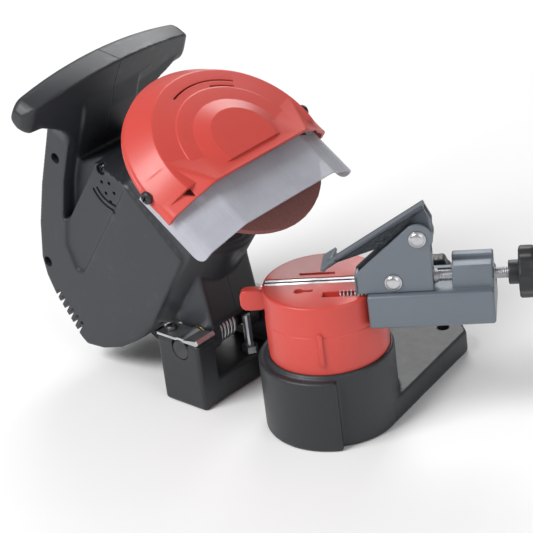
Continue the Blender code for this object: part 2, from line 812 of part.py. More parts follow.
def depth_stop():
    """The screw that sets how deep the wheel goes, with its lock nut."""
    place = (STOP_SCREW_FORWARD, STOP_SCREW_SIDE, 0)
    edge = STOP_SCREW_RADIUS / 3
    profile = (
        (0, STOP_SCREW_DEPTH), (STOP_SCREW_RADIUS, STOP_SCREW_DEPTH), (STOP_SCREW_RADIUS, STOP_SCREW_TOP - edge),
        (STOP_SCREW_RADIUS - edge, STOP_SCREW_TOP), (0, STOP_SCREW_TOP),
    )
    piece("depth_stop_screw", moved(turned(profile, "Z", SMALL_STEPS), place), "bright_steel")
    low = BAR_HEIGHT + GAP
    nut = prism(arc((0, 0), STOP_NUT_RADIUS, 0, math.tau * 5 / 6, 5), low, low + STOP_NUT_HEIGHT)
    cut(nut, rod(STOP_SCREW_RADIUS + GAP, low - OVERRUN, low + STOP_NUT_HEIGHT + OVERRUN))
    piece("depth_stop_nut", moved(nut, place), "bright_steel")


def head_return_spring():
    """The torsion spring round the pin, one arm on the bar and one up inside the leg."""
    coil = coil_points(RETURN_COIL_RADIUS, RETURN_PITCH, RETURN_TURNS, math.pi)
    points = [(-b, RETURN_COIL_START + a, c) for a, b, c in coil]
    points = [(-x, y, z + PIN_HEIGHT) for x, y, z in points]
    first = points[0]
    last = points[-1]
    rest = BAR_HEIGHT + RETURN_WIRE_RADIUS + GAP
    down = [(first[0], first[1], rest), (first[0], first[1], (rest + PIN_HEIGHT) / 2)]
    up = [(last[0], last[1], last[2] + RETURN_ARM / 2), (last[0] + RETURN_COIL_RADIUS / 2, last[1], last[2] + RETURN_ARM)]
    report_self_gap("head_return_spring", points, RETURN_WIRE_RADIUS)
    return wire("head_return_spring", down + points + up, RETURN_WIRE_RADIUS, "bright_steel")


def from_shares(shares):
    """Housing points from their shares of its length and height."""
    return [(-a * HEAD_LENGTH, b * HEAD_HEIGHT) for a, b in shares]


def tbar():
    """The crosswise grip, thick in the middle and swept back to its ends."""
    bm = bmesh.new()
    rings = []
    for i in range(TBAR_STEPS + 1):
        share = 2 * i / TBAR_STEPS - 1
        across = TBAR_HALF_LENGTH * share
        bend = share * share
        thick = TBAR_MID_THICKNESS + (TBAR_END_THICKNESS - TBAR_MID_THICKNESS) * bend
        deep = TBAR_MID_DEPTH + (TBAR_END_DEPTH - TBAR_MID_DEPTH) * bend
        top = TBAR_TOP - TBAR_SWEEP * bend
        front = HEAD_HEIGHT * TBAR_FRONT_SHARE + TBAR_LIFT * bend
        back = top - TBAR_BACK_DROP * (1 - bend)
        box = ((top, front), (back, front + deep), (top - thick, front + deep), (top - thick, front))
        outline = rounded(box, deep / 3, 2)
        rings.append([bm.verts.new((a, across, b)) for a, b in outline])
    for first, second in zip(rings, rings[1:]):
        for k in range(len(first)):
            j = (k + 1) % len(first)
            bm.faces.new((first[k], first[j], second[j], second[k]))
    bm.faces.new(rings[0])
    bm.faces.new(rings[-1])
    return shape_from(bm)


def barrel():
    """The round motor barrel, flat on its two sides."""
    round_part = turned(
        ((0, -BARREL_REAR), (BARREL_RADIUS - BARREL_EDGE, -BARREL_REAR), (BARREL_RADIUS, -BARREL_REAR + BARREL_EDGE),
         (BARREL_RADIUS, -BARREL_FRONT - BARREL_EDGE), (BARREL_RADIUS - BARREL_EDGE, -BARREL_FRONT),
         (0, -BARREL_FRONT)), "X", ROUND_STEPS)
    moved(round_part, (0, 0, BARREL_RISE))
    reach = BARREL_RADIUS + BARREL_RISE + OVERRUN
    return keep(round_part, block(
        (-BARREL_REAR - OVERRUN, -BARREL_HALF_WIDTH, -reach), (-BARREL_FRONT + OVERRUN, BARREL_HALF_WIDTH, reach)))


def pin_in_head():
    """The hinge pin's place in the head, from the wheel centre."""
    return (-WHEEL_ALONG, -WHEEL_UP)


def leg():
    """The leg that carries the head on its pin: two cheeks and a front web, with a ring boss on the near cheek."""
    pin = pin_in_head()
    shape = prism(from_shares(LEG_SHARES), -LEG_HALF_WIDTH, LEG_HALF_WIDTH, "XZ")
    knuckle = rod(KNUCKLE_RADIUS, -LEG_HALF_WIDTH, LEG_HALF_WIDTH, "Y", SMALL_STEPS * 2)
    join(shape, moved(knuckle, (pin[0], 0, pin[1])))
    boss = rod(RING_BOSS_RADIUS, -LEG_HALF_WIDTH - RING_BOSS_HEIGHT, -LEG_HALF_WIDTH + OVERRUN, "Y")
    up = (math.sin(HEAD_TILT), math.cos(HEAD_TILT))
    back = (-math.cos(HEAD_TILT), math.sin(HEAD_TILT))
    place = [pin[k] + RING_RISE * up[k] + RING_BACK * back[k] for k in (0, 1)]
    return join(shape, moved(boss, (place[0], 0, place[1]))), place


def leg_cuts(ring_place):
    """What is cut from the leg: the pin bore, the spring channel and the ring boss hole."""
    pin = pin_in_head()
    bore = PIN_RADIUS + GAP + BUSH_WALL + GAP
    reach = LEG_HALF_WIDTH + OVERRUN
    cuts = [moved(rod(bore, -reach, reach, "Y", SMALL_STEPS * 2), (pin[0], 0, pin[1]))]
    half = LEG_CHANNEL_HALF_WIDTH
    channel = rod(LEG_CHANNEL_RADIUS, -half, half, "Y", SMALL_STEPS * 2)
    cuts.append(moved(channel, (pin[0], 0, pin[1])))
    up = Vector((math.sin(HEAD_TILT), math.cos(HEAD_TILT)))
    back = Vector((-math.cos(HEAD_TILT), math.sin(HEAD_TILT)))
    corner = Vector(pin)
    top = RETURN_ARM + 2 * RETURN_WIRE_RADIUS
    rear = LEG_HALF_WIDTH
    ends = [corner + back * -RING_BOSS_RADIUS, corner + back * rear, corner + back * rear + up * top,
            corner + up * top + back * -RING_BOSS_RADIUS]
    cuts.append(prism([tuple(p) for p in ends], -half, half, "XZ"))
    hole = rod(RING_HOLE_RADIUS, -LEG_HALF_WIDTH - RING_BOSS_HEIGHT - OVERRUN, -half + OVERRUN, "Y")
    cuts.append(moved(hole, (ring_place[0], 0, ring_place[1])))
    return cuts


def motor_cavity():
    """The turned space for the motor, with its bearing seats and shaft passage."""
    seat = BEARING_RADIUS + GAP
    room = STATOR_RADIUS + GAP
    passage = SHAFT_RADIUS + OVERRUN
    rear_end = REAR_BEARING + BEARING_WIDTH + GAP
    front_end = FRONT_BEARING - GAP
    profile = (
        (0, -rear_end), (seat, -rear_end), (seat, -REAR_BEARING + GAP), (room, -REAR_BEARING + GAP),
        (room, -FRONT_BEARING - BEARING_WIDTH - HOUSING_WALL), (seat, -FRONT_BEARING - BEARING_WIDTH - HOUSING_WALL),
        (seat, -front_end), (passage, -front_end), (passage, -NOSE_FRONT + OVERRUN), (0, -NOSE_FRONT + OVERRUN),
    )
    return turned(profile, "X", ROUND_STEPS)


def housing_body():
    """The whole housing before it is split."""
    side = HOUSING_HALF_WIDTH
    body = soften(prism(from_shares(BODY_SHARES), -side, side, "XZ"), HOUSING_EDGE)
    nose = turned(
        ((0, -BARREL_FRONT - HOUSING_WALL * 2), (NOSE_RADIUS, -BARREL_FRONT - HOUSING_WALL * 2),
         (NOSE_RADIUS, -NOSE_FRONT), (0, -NOSE_FRONT)), "X", ROUND_STEPS)
    for sign in (-1, 1):
        for shares, depth in ((PANEL_SHARES, PANEL_DEPTH), (VALLEY_SHARES, VALLEY_DEPTH)):
            low, high = sorted((sign * (side - depth), sign * (side + OVERRUN)))
            cut(body, prism(from_shares(shares), low, high, "XZ"))
    join(body, barrel(), nose)
    support, ring_place = leg()
    join(body, support, tbar())
    cut(body, motor_cavity())
    inner = side - HOUSING_WALL
    cut(body, prism(from_shares(CHAMBER_SHARES), -inner, inner, "XZ"))
    cut(body, *leg_cuts(ring_place))
    return body


def rear_slots():
    """Air slots round the rear end, on one side."""
    first = from_shares([SLOT_START_SHARES])[0]
    last = from_shares([SLOT_END_SHARES])[0]
    slots = []
    for i in range(REAR_SLOTS):
        share = i / (REAR_SLOTS - 1)
        along = first[0] + (last[0] - first[0]) * share
        up = first[1] + (last[1] - first[1]) * share
        half = REAR_SLOT_WIDTH / 2
        slots.append(((along - HEAD_LENGTH, up - half), (along, up + half)))
    return slots


def screw_places():
    """Places of the housing screws, from the wheel centre."""
    return from_shares(SCREW_SHARES)


def housing_half(name, body, side, frame, offset):
    """One half of the housing, with its slots, screw bosses and openings."""
    shape = copied(body)
    reach = HEAD_LENGTH * 2
    low, high = sorted((side * SPLIT_GAP / 2, side * reach))
    keep(shape, block((-reach, low, -reach), (reach, high, reach)))
    outer = side * (HOUSING_HALF_WIDTH + OVERRUN)
    inner = side * (HOUSING_HALF_WIDTH - REAR_SLOT_DEPTH)
    for (x0, z0), (x1, z1) in rear_slots():
        near, far = sorted((inner, outer))
        cut(shape, block((x0, near, z0), (x1, far, z1)))
    for x, z in screw_places():
        start = side * SPLIT_GAP / 2
        if side < 0:
            hole = rod(HOUSING_SCREW_RADIUS + GAP, -HOUSING_HALF_WIDTH - OVERRUN, OVERRUN, "Y")
            seat = -HOUSING_HALF_WIDTH + VALLEY_DEPTH / 2
            sink = rod(HOUSING_SCREW_HEAD + GAP, -HOUSING_HALF_WIDTH - OVERRUN, seat, "Y")
            boss = rod(HOUSING_BOSS_RADIUS, -HOUSING_HALF_WIDTH + VALLEY_DEPTH / 4, start, "Y")
            join(shape, moved(boss, (x, 0, z)))
            cut(shape, moved(hole, (x, 0, z)), moved(sink, (x, 0, z)))
        else:
            boss = rod(HOUSING_BOSS_RADIUS, start, HOUSING_HALF_WIDTH - VALLEY_DEPTH / 4, "Y")
            join(shape, moved(boss, (x, 0, z)))
            hole = rod(HOUSING_SCREW_RADIUS + GAP, -OVERRUN, HOUSING_SCREW_LENGTH + GAP, "Y")
            cut(shape, moved(hole, (x, 0, z)))
    if side > 0:
        cut(shape, *switch_cuts())
    for y, z in guard_screw_places():
        depth = screw_length_in_nose() + OVERRUN
        hole = rod(SCREW_RADIUS + GAP, -NOSE_FRONT - depth, -NOSE_FRONT + OVERRUN, "X", SMALL_STEPS // 2)
        cut(shape, moved(hole, (0, y, z)))
    gland = rod(GLAND_RADIUS + GAP, -GLAND_SEAT, GLAND_LENGTH * 2, "Z", SMALL_STEPS)
    spun(gland, math.pi, "Y")
    gland_along, gland_up = from_shares([GLAND_SHARES])[0]
    cut(shape, moved(gland, (gland_along, 0, gland_up)))
    return piece(name, shape, "black_housing", frame, offset)


def switch_cuts():
    """The switch opening in the far half."""
    low = HOUSING_HALF_WIDTH - HOUSING_WALL - OVERRUN
    half_length = SWITCH_HALF_LENGTH + GAP
    half_width = SWITCH_HALF_WIDTH + GAP
    along, up = from_shares([SWITCH_SHARES])[0]
    return [block(
        (along - half_width, low, up - half_length),
        (along + half_width, HOUSING_HALF_WIDTH + OVERRUN, up + half_length))]


def housing_screws(frame, offset):
    """The screws that draw the halves together, sunk in the near side."""
    seat = -HOUSING_HALF_WIDTH + VALLEY_DEPTH / 2 - GAP
    length = HOUSING_SCREW_LENGTH - seat - GAP
    for number, (x, z) in enumerate(screw_places(), 1):
        screw = pan_screw(HOUSING_SCREW_RADIUS, HOUSING_SCREW_HEAD, HOUSING_SCREW_RADIUS, length, "Y", SMALL_STEPS // 2)
        spun(screw, math.pi, "X")
        moved(screw, (x, seat, z))
        piece(f"housing_screw_{number}", screw, "dark_steel", frame, offset)


def hinge_bushes(frame, offset):
    """A bush in each cheek of the leg."""
    pin = pin_in_head()
    for label, side in SIDES:
        low, high = sorted((side * (LEG_CHANNEL_HALF_WIDTH + GAP), side * LEG_HALF_WIDTH))
        bush = ring(PIN_RADIUS + GAP, PIN_RADIUS + GAP + BUSH_WALL, low, high, "Y", SMALL_STEPS * 2)
        moved(bush, (pin[0], 0, pin[1]))
        piece(f"hinge_bush_{label}", bush, "brass", frame, offset)


def wedge_ring(inner, outer, middle, half_angle, low, high, steps=6):
    """Part of a tube about the spindle, either side of a middle angle."""
    outline = arc((0, 0), outer, middle - half_angle, middle + half_angle, steps)
    outline += arc((0, 0), inner, middle + half_angle, middle - half_angle, steps)
    return prism(outline, low, high, "YZ")


def stator_parts(frame, offset):
    """The laminated stator and the field coils round its two poles."""
    rear = -STACK_FRONT - STACK_LENGTH
    front = -STACK_FRONT
    yoke_inner = STATOR_RADIUS - STATOR_YOKE
    shape = ring(yoke_inner, STATOR_RADIUS, rear, front, "X")
    for middle in (math.pi / 2, -math.pi / 2):
        pole = wedge_ring(STATOR_BORE, yoke_inner + OVERRUN / 2, middle, POLE_HALF_ANGLE, rear, front)
        join(shape, pole)
    piece("stator_core", shape, "lamination", frame, offset)
    inner = STATOR_BORE + GAP
    outer = yoke_inner - GAP
    gap_angle = GAP / inner
    bridge_half = math.pi / 2 - COIL_HALF_ANGLE + gap_angle
    coils = wedge_ring(
        (inner + outer) / 2, outer - GAP, 0, bridge_half, rear - GAP - COIL_END_LENGTH / 2, rear - GAP * 2, 4)
    for middle in (math.pi / 2, -math.pi / 2):
        coil = wedge_ring(inner, outer, middle, COIL_HALF_ANGLE, rear - GAP - COIL_END_LENGTH, rear - GAP)
        join(coil, wedge_ring(inner, outer, middle, COIL_HALF_ANGLE, front + GAP, front + GAP + COIL_END_LENGTH))
        for side in (-1, 1):
            half = (COIL_HALF_ANGLE - POLE_HALF_ANGLE - gap_angle) / 2
            centre = middle + side * (COIL_HALF_ANGLE - half)
            reach = GAP + COIL_END_LENGTH / 2
            join(coil, wedge_ring(inner, outer, centre, half, rear - reach, front + reach, 2))
        join(coils, coil)
    piece("field_coils", coils, "copper", frame, offset)


def bearing(name, start, frame, offset):
    """A ball bearing, as its closed rings and shields."""
    low, high = -start - BEARING_WIDTH, -start
    edge = GAP
    outer = BEARING_RADIUS
    profile = (
        (SHAFT_RADIUS + GAP, low), (outer - edge, low), (outer, low + edge), (outer, high - edge),
        (outer - edge, high), (SHAFT_RADIUS + GAP, high),
    )
    return piece(name, turned(profile, "X"), "bright_steel", frame, offset)


def brush_gear(frame, offset):
    """Carbon brushes on the commutator, in their brass holders."""
    middle = -COMMUTATOR_FRONT - COMMUTATOR_LENGTH / 2
    half = BRUSH_WIDTH / 2
    wall = half + GAP + HOLDER_WALL
    start = COMMUTATOR_RADIUS + GAP
    holder_start = start + HOLDER_WALL
    holder_end = STATOR_RADIUS - GAP
    for label, side in SIDES:
        low, high = sorted((side * start, side * (start + BRUSH_LENGTH)))
        brush = block((middle - half, low, -half), (middle + half, high, half))
        piece(f"carbon_brush_{label}", brush, "carbon", frame, offset)
        low, high = sorted((side * holder_start, side * holder_end))
        holder = block((middle - wall, low, -wall), (middle + wall, high, wall))
        room = half + GAP
        low, high = sorted((side * (holder_start - OVERRUN), side * (start + BRUSH_LENGTH + GAP)))
        cut(holder, block((middle - room, low, -room), (middle + room, high, room)))
        piece(f"brush_holder_{label}", holder, "brass", frame, offset)


def motor_shaft(spindle):
    """The shaft, from the rear bearing to the wheel."""
    edge = GAP * 2
    profile = (
        (0, -SHAFT_REAR), (SHAFT_RADIUS - edge, -SHAFT_REAR), (SHAFT_RADIUS, -SHAFT_REAR + edge),
        (SHAFT_RADIUS, SHAFT_FRONT - edge), (SHAFT_RADIUS - edge, SHAFT_FRONT), (0, SHAFT_FRONT),
    )
    return piece("motor_shaft", turned(profile, "X", SMALL_STEPS), "bright_steel", spindle)


def armature(spindle):
    """The slotted armature pack, its end windings and its commutator."""
    rear, front = -STACK_FRONT - STACK_LENGTH, -STACK_FRONT
    bore = SHAFT_RADIUS + GAP
    outline = []
    tooth = math.tau / ARMATURE_SLOTS
    for i in range(ARMATURE_SLOTS):
        middle = i * tooth
        tip = tooth * TOOTH_TIP_SHARE
        outline += arc((0, 0), ARMATURE_RADIUS, middle - tip, middle + tip, 2)
        floor = (middle + tooth * SLOT_FLOOR_SHARE, middle + tooth * (1 - SLOT_FLOOR_SHARE))
        outline += arc((0, 0), ARMATURE_RADIUS - ARMATURE_SLOT_DEPTH, *floor, 1)
    core = cut(prism(outline, rear, front, "YZ"), rod(bore, rear - OVERRUN, front + OVERRUN, "X"))
    piece("armature_core", core, "lamination", spindle)
    windings = ring(bore, WINDING_RADIUS, rear - GAP - WINDING_LENGTH, rear - GAP, "X", SMALL_STEPS * 2)
    join(windings, ring(bore, WINDING_RADIUS, front + GAP, front + GAP + WINDING_LENGTH, "X", SMALL_STEPS * 2))
    half = tooth * SLOT_BAR_SHARE
    for i in range(ARMATURE_SLOTS):
        low = ARMATURE_RADIUS - ARMATURE_SLOT_DEPTH + GAP
        reach = GAP + WINDING_LENGTH / 2
        bar = wedge_ring(low, WINDING_RADIUS - GAP, (i + 1 / 2) * tooth, half, rear - reach, front + reach, 1)
        join(windings, bar)
    piece("armature_windings", windings, "copper", spindle)
    low = -COMMUTATOR_FRONT - COMMUTATOR_LENGTH
    shape = ring(bore, COMMUTATOR_RADIUS, low, -COMMUTATOR_FRONT, "X", SMALL_STEPS * 2)
    piece("commutator", shape, "copper", spindle)


def cooling_fan(spindle):
    """The fan behind the front bearing."""
    bore = SHAFT_RADIUS + GAP
    low, high = -FAN_FRONT - FAN_DEPTH, -FAN_FRONT
    shape = turned((
        (bore, low), (FAN_RADIUS, low), (FAN_RADIUS, low + FAN_DISC), (FAN_HUB_RADIUS, low + FAN_DISC),
        (FAN_HUB_RADIUS, high), (bore, high)), "X")
    half = FAN_BLADE / 2
    for i in range(FAN_BLADES):
        blade = block((low + FAN_DISC / 2, FAN_HUB_RADIUS - OVERRUN / 2, -half), (high - GAP, FAN_RADIUS - GAP, half))
        join(shape, spun(blade, math.tau * i / FAN_BLADES, "X"))
    return piece("cooling_fan", shape, "black_plastic", spindle)


def wheel_parts(spindle):
    """Grinding wheel, its two flanges and the nut."""
    half = WHEEL_WIDTH / 2
    rim = WHEEL_RADIUS - WHEEL_EDGE
    profile = (
        (WHEEL_BORE + GAP, -half), (rim, -half), (WHEEL_RADIUS, -half + WHEEL_EDGE), (WHEEL_RADIUS, half - WHEEL_EDGE),
        (rim, half), (WHEEL_BORE + GAP, half),
    )
    piece("grinding_wheel", turned(profile, "X", ROUND_STEPS * 2), "stone", spindle)
    bore = SHAFT_RADIUS + GAP
    face = half + GAP
    end = face + FLANGE_DISC_THICKNESS
    collar = WHEEL_BORE
    inner = turned((
        (bore, -end), (FLANGE_DISC_RADIUS, -end), (FLANGE_DISC_RADIUS, -face), (collar, -face), (collar, half - GAP),
        (bore, half - GAP)), "X")
    piece("inner_flange", inner, "bright_steel", spindle)
    piece("outer_flange", ring(bore, FLANGE_DISC_RADIUS, face, end, "X"), "bright_steel", spindle)
    start = end + GAP
    nut = prism(arc((0, 0), NUT_RADIUS, 0, math.tau * 5 / 6, 5), start, start + NUT_THICKNESS, "YZ")
    cut(nut, rod(bore, start - OVERRUN, start + NUT_THICKNESS + OVERRUN, "X"))
    piece("spindle_nut", nut, "bright_steel", spindle)


def dome(shrink, back):
    """The turned dome of the guard, drawn in by a wall."""
    slope = shrink
    return turned((
        (0, -back), (GUARD_RADIUS - shrink, -back), (GUARD_RADIUS - shrink, GUARD_RIM - slope / 3),
        (GUARD_FACE_RADIUS - shrink / 2, GUARD_FACE - slope), (GUARD_RING_RADIUS - shrink / 4, GUARD_RING - slope),
        (GUARD_CAP_RADIUS - shrink / 4, GUARD_CAP - slope), (0, GUARD_CAP - slope)), "X", ROUND_STEPS * 2)


def hood(shrink, back, drop):
    """The flared hood below the dome, drawn in by a wall."""
    top_side = math.sqrt(GUARD_RADIUS ** 2 - HOOD_TOP ** 2) - shrink
    face_side = math.sqrt(GUARD_FACE_RADIUS ** 2 - HOOD_TOP ** 2) - shrink
    upper = (
        (-top_side, -back), (-top_side, GUARD_RIM - shrink / 3), (-face_side, GUARD_FACE - shrink),
        (face_side, GUARD_FACE - shrink), (top_side, GUARD_RIM - shrink / 3), (top_side, -back),
    )
    side = GUARD_RADIUS - shrink
    front_half = HOOD_FRONT_HALF - shrink / 3
    lower = (
        (-side, -back), (-side, HOOD_SIDE - shrink / 3), (-front_half, HOOD_FRONT - shrink),
        (front_half, HOOD_FRONT - shrink), (side, HOOD_SIDE - shrink / 3), (side, -back),
    )
    bm = bmesh.new()
    bottom = HOOD_BOTTOM - drop
    top_ring = [bm.verts.new((n, u, HOOD_TOP)) for u, n in upper]
    low_ring = [bm.verts.new((n, u, bottom)) for u, n in lower]
    bm.faces.new(top_ring)
    bm.faces.new(low_ring)
    for i in range(len(upper)):
        j = (i + 1) % len(upper)
        bm.faces.new((top_ring[i], top_ring[j], low_ring[j], low_ring[i]))
    return shape_from(bm)


def wheel_guard(frame, offset):
    """The red guard over the wheel: a stepped dome and a flared hood, open below."""
    reach = GUARD_RADIUS + OVERRUN
    shape = dome(0, GUARD_BACK)
    cut(shape, block((-reach, -reach, -reach), (reach, reach, GUARD_DOME_BOTTOM)))
    join(shape, hood(0, GUARD_BACK, 0))
    cut(shape, dome(GUARD_WALL, GUARD_BACK + OVERRUN), hood(GUARD_WALL, GUARD_BACK + OVERRUN, OVERRUN))
    for radius, start, end in zip(VENT_RADII, VENT_STARTS, VENT_ENDS):
        middle, half = (start + end) / 2, (end - start) / 2
        inner, outer = radius - VENT_WIDTH / 2, radius + VENT_WIDTH / 2
        cut(shape, wedge_ring(inner, outer, middle, half, GUARD_RIM, GUARD_CAP, 10))
    for side in (-1, 1):
        low, high = sorted((side * (GUARD_RADIUS - GUARD_WALL - OVERRUN), side * (GUARD_RADIUS + OVERRUN)))
        hole = rod(SCREW_RADIUS + GAP, low, high, "Y", SMALL_STEPS)
        cut(shape, moved(hole, (-SIDE_SCREW_BACK, 0, SIDE_SCREW_RISE)))
    return piece("wheel_guard", shape, "red_plastic", frame, offset)


def shield_side():
    """Half the width of the clear shield, just inside the hood."""
    return math.sqrt(GUARD_RADIUS ** 2 - HOOD_TOP ** 2) - GUARD_WALL - GAP


def shield_outline(inward):
    """The bent section of the clear shield, across and along, drawn in by a distance."""
    wall = GUARD_WALL + GAP + inward
    side = shield_side() - inward
    front_half = HOOD_FRONT_HALF - wall / 3
    face = GUARD_FACE - GUARD_WALL - inward
    return [(-side, -SHIELD_REAR), (-side, -wall / 3), (-front_half, face), (front_half, face), (side, -wall / 3),
            (side, -SHIELD_REAR)]


def clear_shield(frame, offset):
    """The bent clear sheet inside the hood, with its two screw holes."""
    section = shield_outline(0) + shield_outline(SHIELD_SHEET)[::-1]
    shape = prism([(n, u) for u, n in section], SHIELD_BOTTOM, SHIELD_TOP)
    reach = GUARD_RADIUS + OVERRUN
    front = GUARD_CAP
    rear = -SHIELD_REAR
    corner = SHIELD_CORNER
    tip = [(rear - OVERRUN, SHIELD_BOTTOM - OVERRUN), (rear - OVERRUN, SHIELD_BOTTOM + corner)]
    tip += arc((rear + corner, SHIELD_BOTTOM + corner), corner, math.pi, math.pi * 1.5, CORNER_STEPS)
    tip += [(rear + corner, SHIELD_BOTTOM - OVERRUN)]
    cut(shape, prism(tip, -reach, reach, "XZ"))
    window = [(0, HOOD_BOTTOM + GUARD_WALL), (front, HOOD_BOTTOM + GUARD_WALL), (front, SHIELD_TOP + OVERRUN),
              (0, SHIELD_TOP + OVERRUN)]
    cut(shape, prism(window, -reach, reach, "XZ"))
    for side in (-1, 1):
        low, high = sorted((side * (GUARD_RADIUS / 2), side * reach))
        hole = rod(SCREW_RADIUS + GAP, low, high, "Y", SMALL_STEPS)
        cut(shape, moved(hole, (-SIDE_SCREW_BACK, 0, SIDE_SCREW_RISE)))
    return piece("clear_shield", shape, "clear_shield", frame, offset)


def guard_backplate(frame, offset):
    """The plate behind the wheel, screwed to the motor nose, with an ear each side for the side screws."""
    front = -BACKPLATE_FRONT + BACKPLATE_THICKNESS
    rear = -BACKPLATE_FRONT
    outer = GUARD_RADIUS - GUARD_WALL - GAP
    side = shield_side() - SHIELD_SHEET - GAP
    low = math.asin(HOOD_TOP / outer)
    bottom = -BACKPLATE_HOLE * 2
    outline = arc((0, 0), outer, low, math.pi - low, ROUND_STEPS // 2)
    outline += [(-side, HOOD_TOP), (-side, bottom), (side, bottom), (side, HOOD_TOP)]
    plate = prism(outline, rear, front, "YZ")
    cut(plate, rod(BACKPLATE_HOLE, rear - OVERRUN, front + OVERRUN, "X", ROUND_STEPS))
    ear_half = BACKPLATE_EAR / 2
    for sign in (-1, 1):
        inner = side - SIDE_SCREW_LENGTH
        low, high = sorted((sign * inner, sign * (side - GAP)))
        ear = block((rear, low, SIDE_SCREW_RISE - BACKPLATE_EAR), (-WHEEL_WIDTH, high, SIDE_SCREW_RISE + BACKPLATE_EAR))
        join(plate, ear)
        low, high = sorted((sign * (inner - OVERRUN), sign * (side + OVERRUN)))
        notch = rod(SCREW_RADIUS + GAP, low, high, "Y", SMALL_STEPS)
        slot = block((-SIDE_SCREW_BACK - ear_half, low, SIDE_SCREW_RISE - SCREW_RADIUS - GAP),
                     (OVERRUN, high, SIDE_SCREW_RISE + SCREW_RADIUS + GAP))
        cut(plate, moved(notch, (-SIDE_SCREW_BACK, 0, SIDE_SCREW_RISE)), slot)
    for y, z in guard_screw_places():
        hole = rod(SCREW_RADIUS + GAP, rear - OVERRUN, front + OVERRUN, "X", SMALL_STEPS)
        cut(plate, moved(hole, (0, y, z)))
    return piece("guard_backplate", plate, "dark_steel", frame, offset)


def guard_screw_places():
    """Places of the backplate screws round the nose."""
    last = GUARD_SCREW_START + math.tau * (GUARD_SCREW_COUNT - 1) / GUARD_SCREW_COUNT
    return arc((0, 0), GUARD_SCREW_CIRCLE, GUARD_SCREW_START, last, GUARD_SCREW_COUNT - 1)


def screw_length_in_nose():
    """How far the backplate screws reach into the nose."""
    return NOSE_RADIUS / 3


def guard_screws(frame, offset):
    """The screws of the backplate."""
    seat = -BACKPLATE_FRONT + BACKPLATE_THICKNESS + GAP
    head = BACKPLATE_FRONT - BACKPLATE_THICKNESS - WHEEL_WIDTH / 2 - GAP * 4
    for number, (y, z) in enumerate(guard_screw_places(), 1):
        screw = pan_screw(SCREW_RADIUS, SCREW_HEAD_RADIUS, head, screw_length_in_nose(), "X", SMALL_STEPS // 2)
        moved(screw, (seat, y, z))
        piece(f"guard_screw_{number}", screw, "dark_steel", frame, offset)


def shield_screws(frame, offset):
    """The black screw each side that holds guard and shield to the backplate."""
    for label, side in SIDES:
        screw = pan_screw(SCREW_RADIUS, SIDE_SCREW_HEAD, SIDE_SCREW_HEAD_HEIGHT, SIDE_SCREW_LENGTH, "Y", SMALL_STEPS)
        if side < 0:
            spun(screw, math.pi, "X")
        place = (-SIDE_SCREW_BACK, side * (GUARD_RADIUS + GAP), SIDE_SCREW_RISE)
        piece(f"shield_screw_{label}", moved(screw, place), "black_plastic", frame, offset)


def switch_parts(frame, offset, rocker_axis):
    """The switch body in the far half, and its rocker."""
    skin = HOUSING_HALF_WIDTH
    length, width = SWITCH_HALF_LENGTH, SWITCH_HALF_WIDTH
    body = block((-width, skin - SWITCH_DEPTH, -length), (width, skin + GAP + SWITCH_BEZEL, length))
    edge = SWITCH_BEZEL_EDGE
    bezel = block((-width - edge, skin + GAP, -length - edge), (width + edge, skin + GAP + SWITCH_BEZEL, length + edge))
    join(body, bezel)
    room = block(
        (-ROCKER_HALF_WIDTH - GAP, skin - ROCKER_DEPTH - OVERRUN, -ROCKER_HALF_LENGTH - GAP * 2),
        (ROCKER_HALF_WIDTH + GAP, skin + GAP + SWITCH_BEZEL + OVERRUN, ROCKER_HALF_LENGTH + GAP * 2))
    cut(body, room)
    along, up = from_shares([SWITCH_SHARES])[0]
    moved(body, (along, 0, up))
    piece("switch_body", body, "black_plastic", frame, offset)
    top = SWITCH_BEZEL + ROCKER_RISE
    outline = [(-ROCKER_HALF_LENGTH, SWITCH_BEZEL), (0, top / 2), (ROCKER_HALF_LENGTH, top),
               (ROCKER_HALF_LENGTH / 2, -ROCKER_DEPTH / 2), (0, -ROCKER_DEPTH), (-ROCKER_HALF_LENGTH / 2, -ROCKER_DEPTH / 2)]
    rocker = prism([(b, a) for a, b in outline], -ROCKER_HALF_WIDTH, ROCKER_HALF_WIDTH, "YZ")
    piece("switch_rocker", rocker, "red_plastic", rocker_axis)


def cord_gland(frame, offset):
    """The cord inlet under the rear end; the cord itself isn't part of the model."""
    profile = (
        (GLAND_BORE, -GLAND_LENGTH), (GLAND_TIP_RADIUS, -GLAND_LENGTH), (GLAND_RADIUS, 0), (GLAND_RADIUS, GLAND_SEAT),
        (GLAND_BORE, GLAND_SEAT),
    )
    shape = turned(profile, "Z", SMALL_STEPS)
    along, up = from_shares([GLAND_SHARES])[0]
    return piece("cord_gland", moved(shape, (along, 0, up)), "black_plastic", frame, offset)


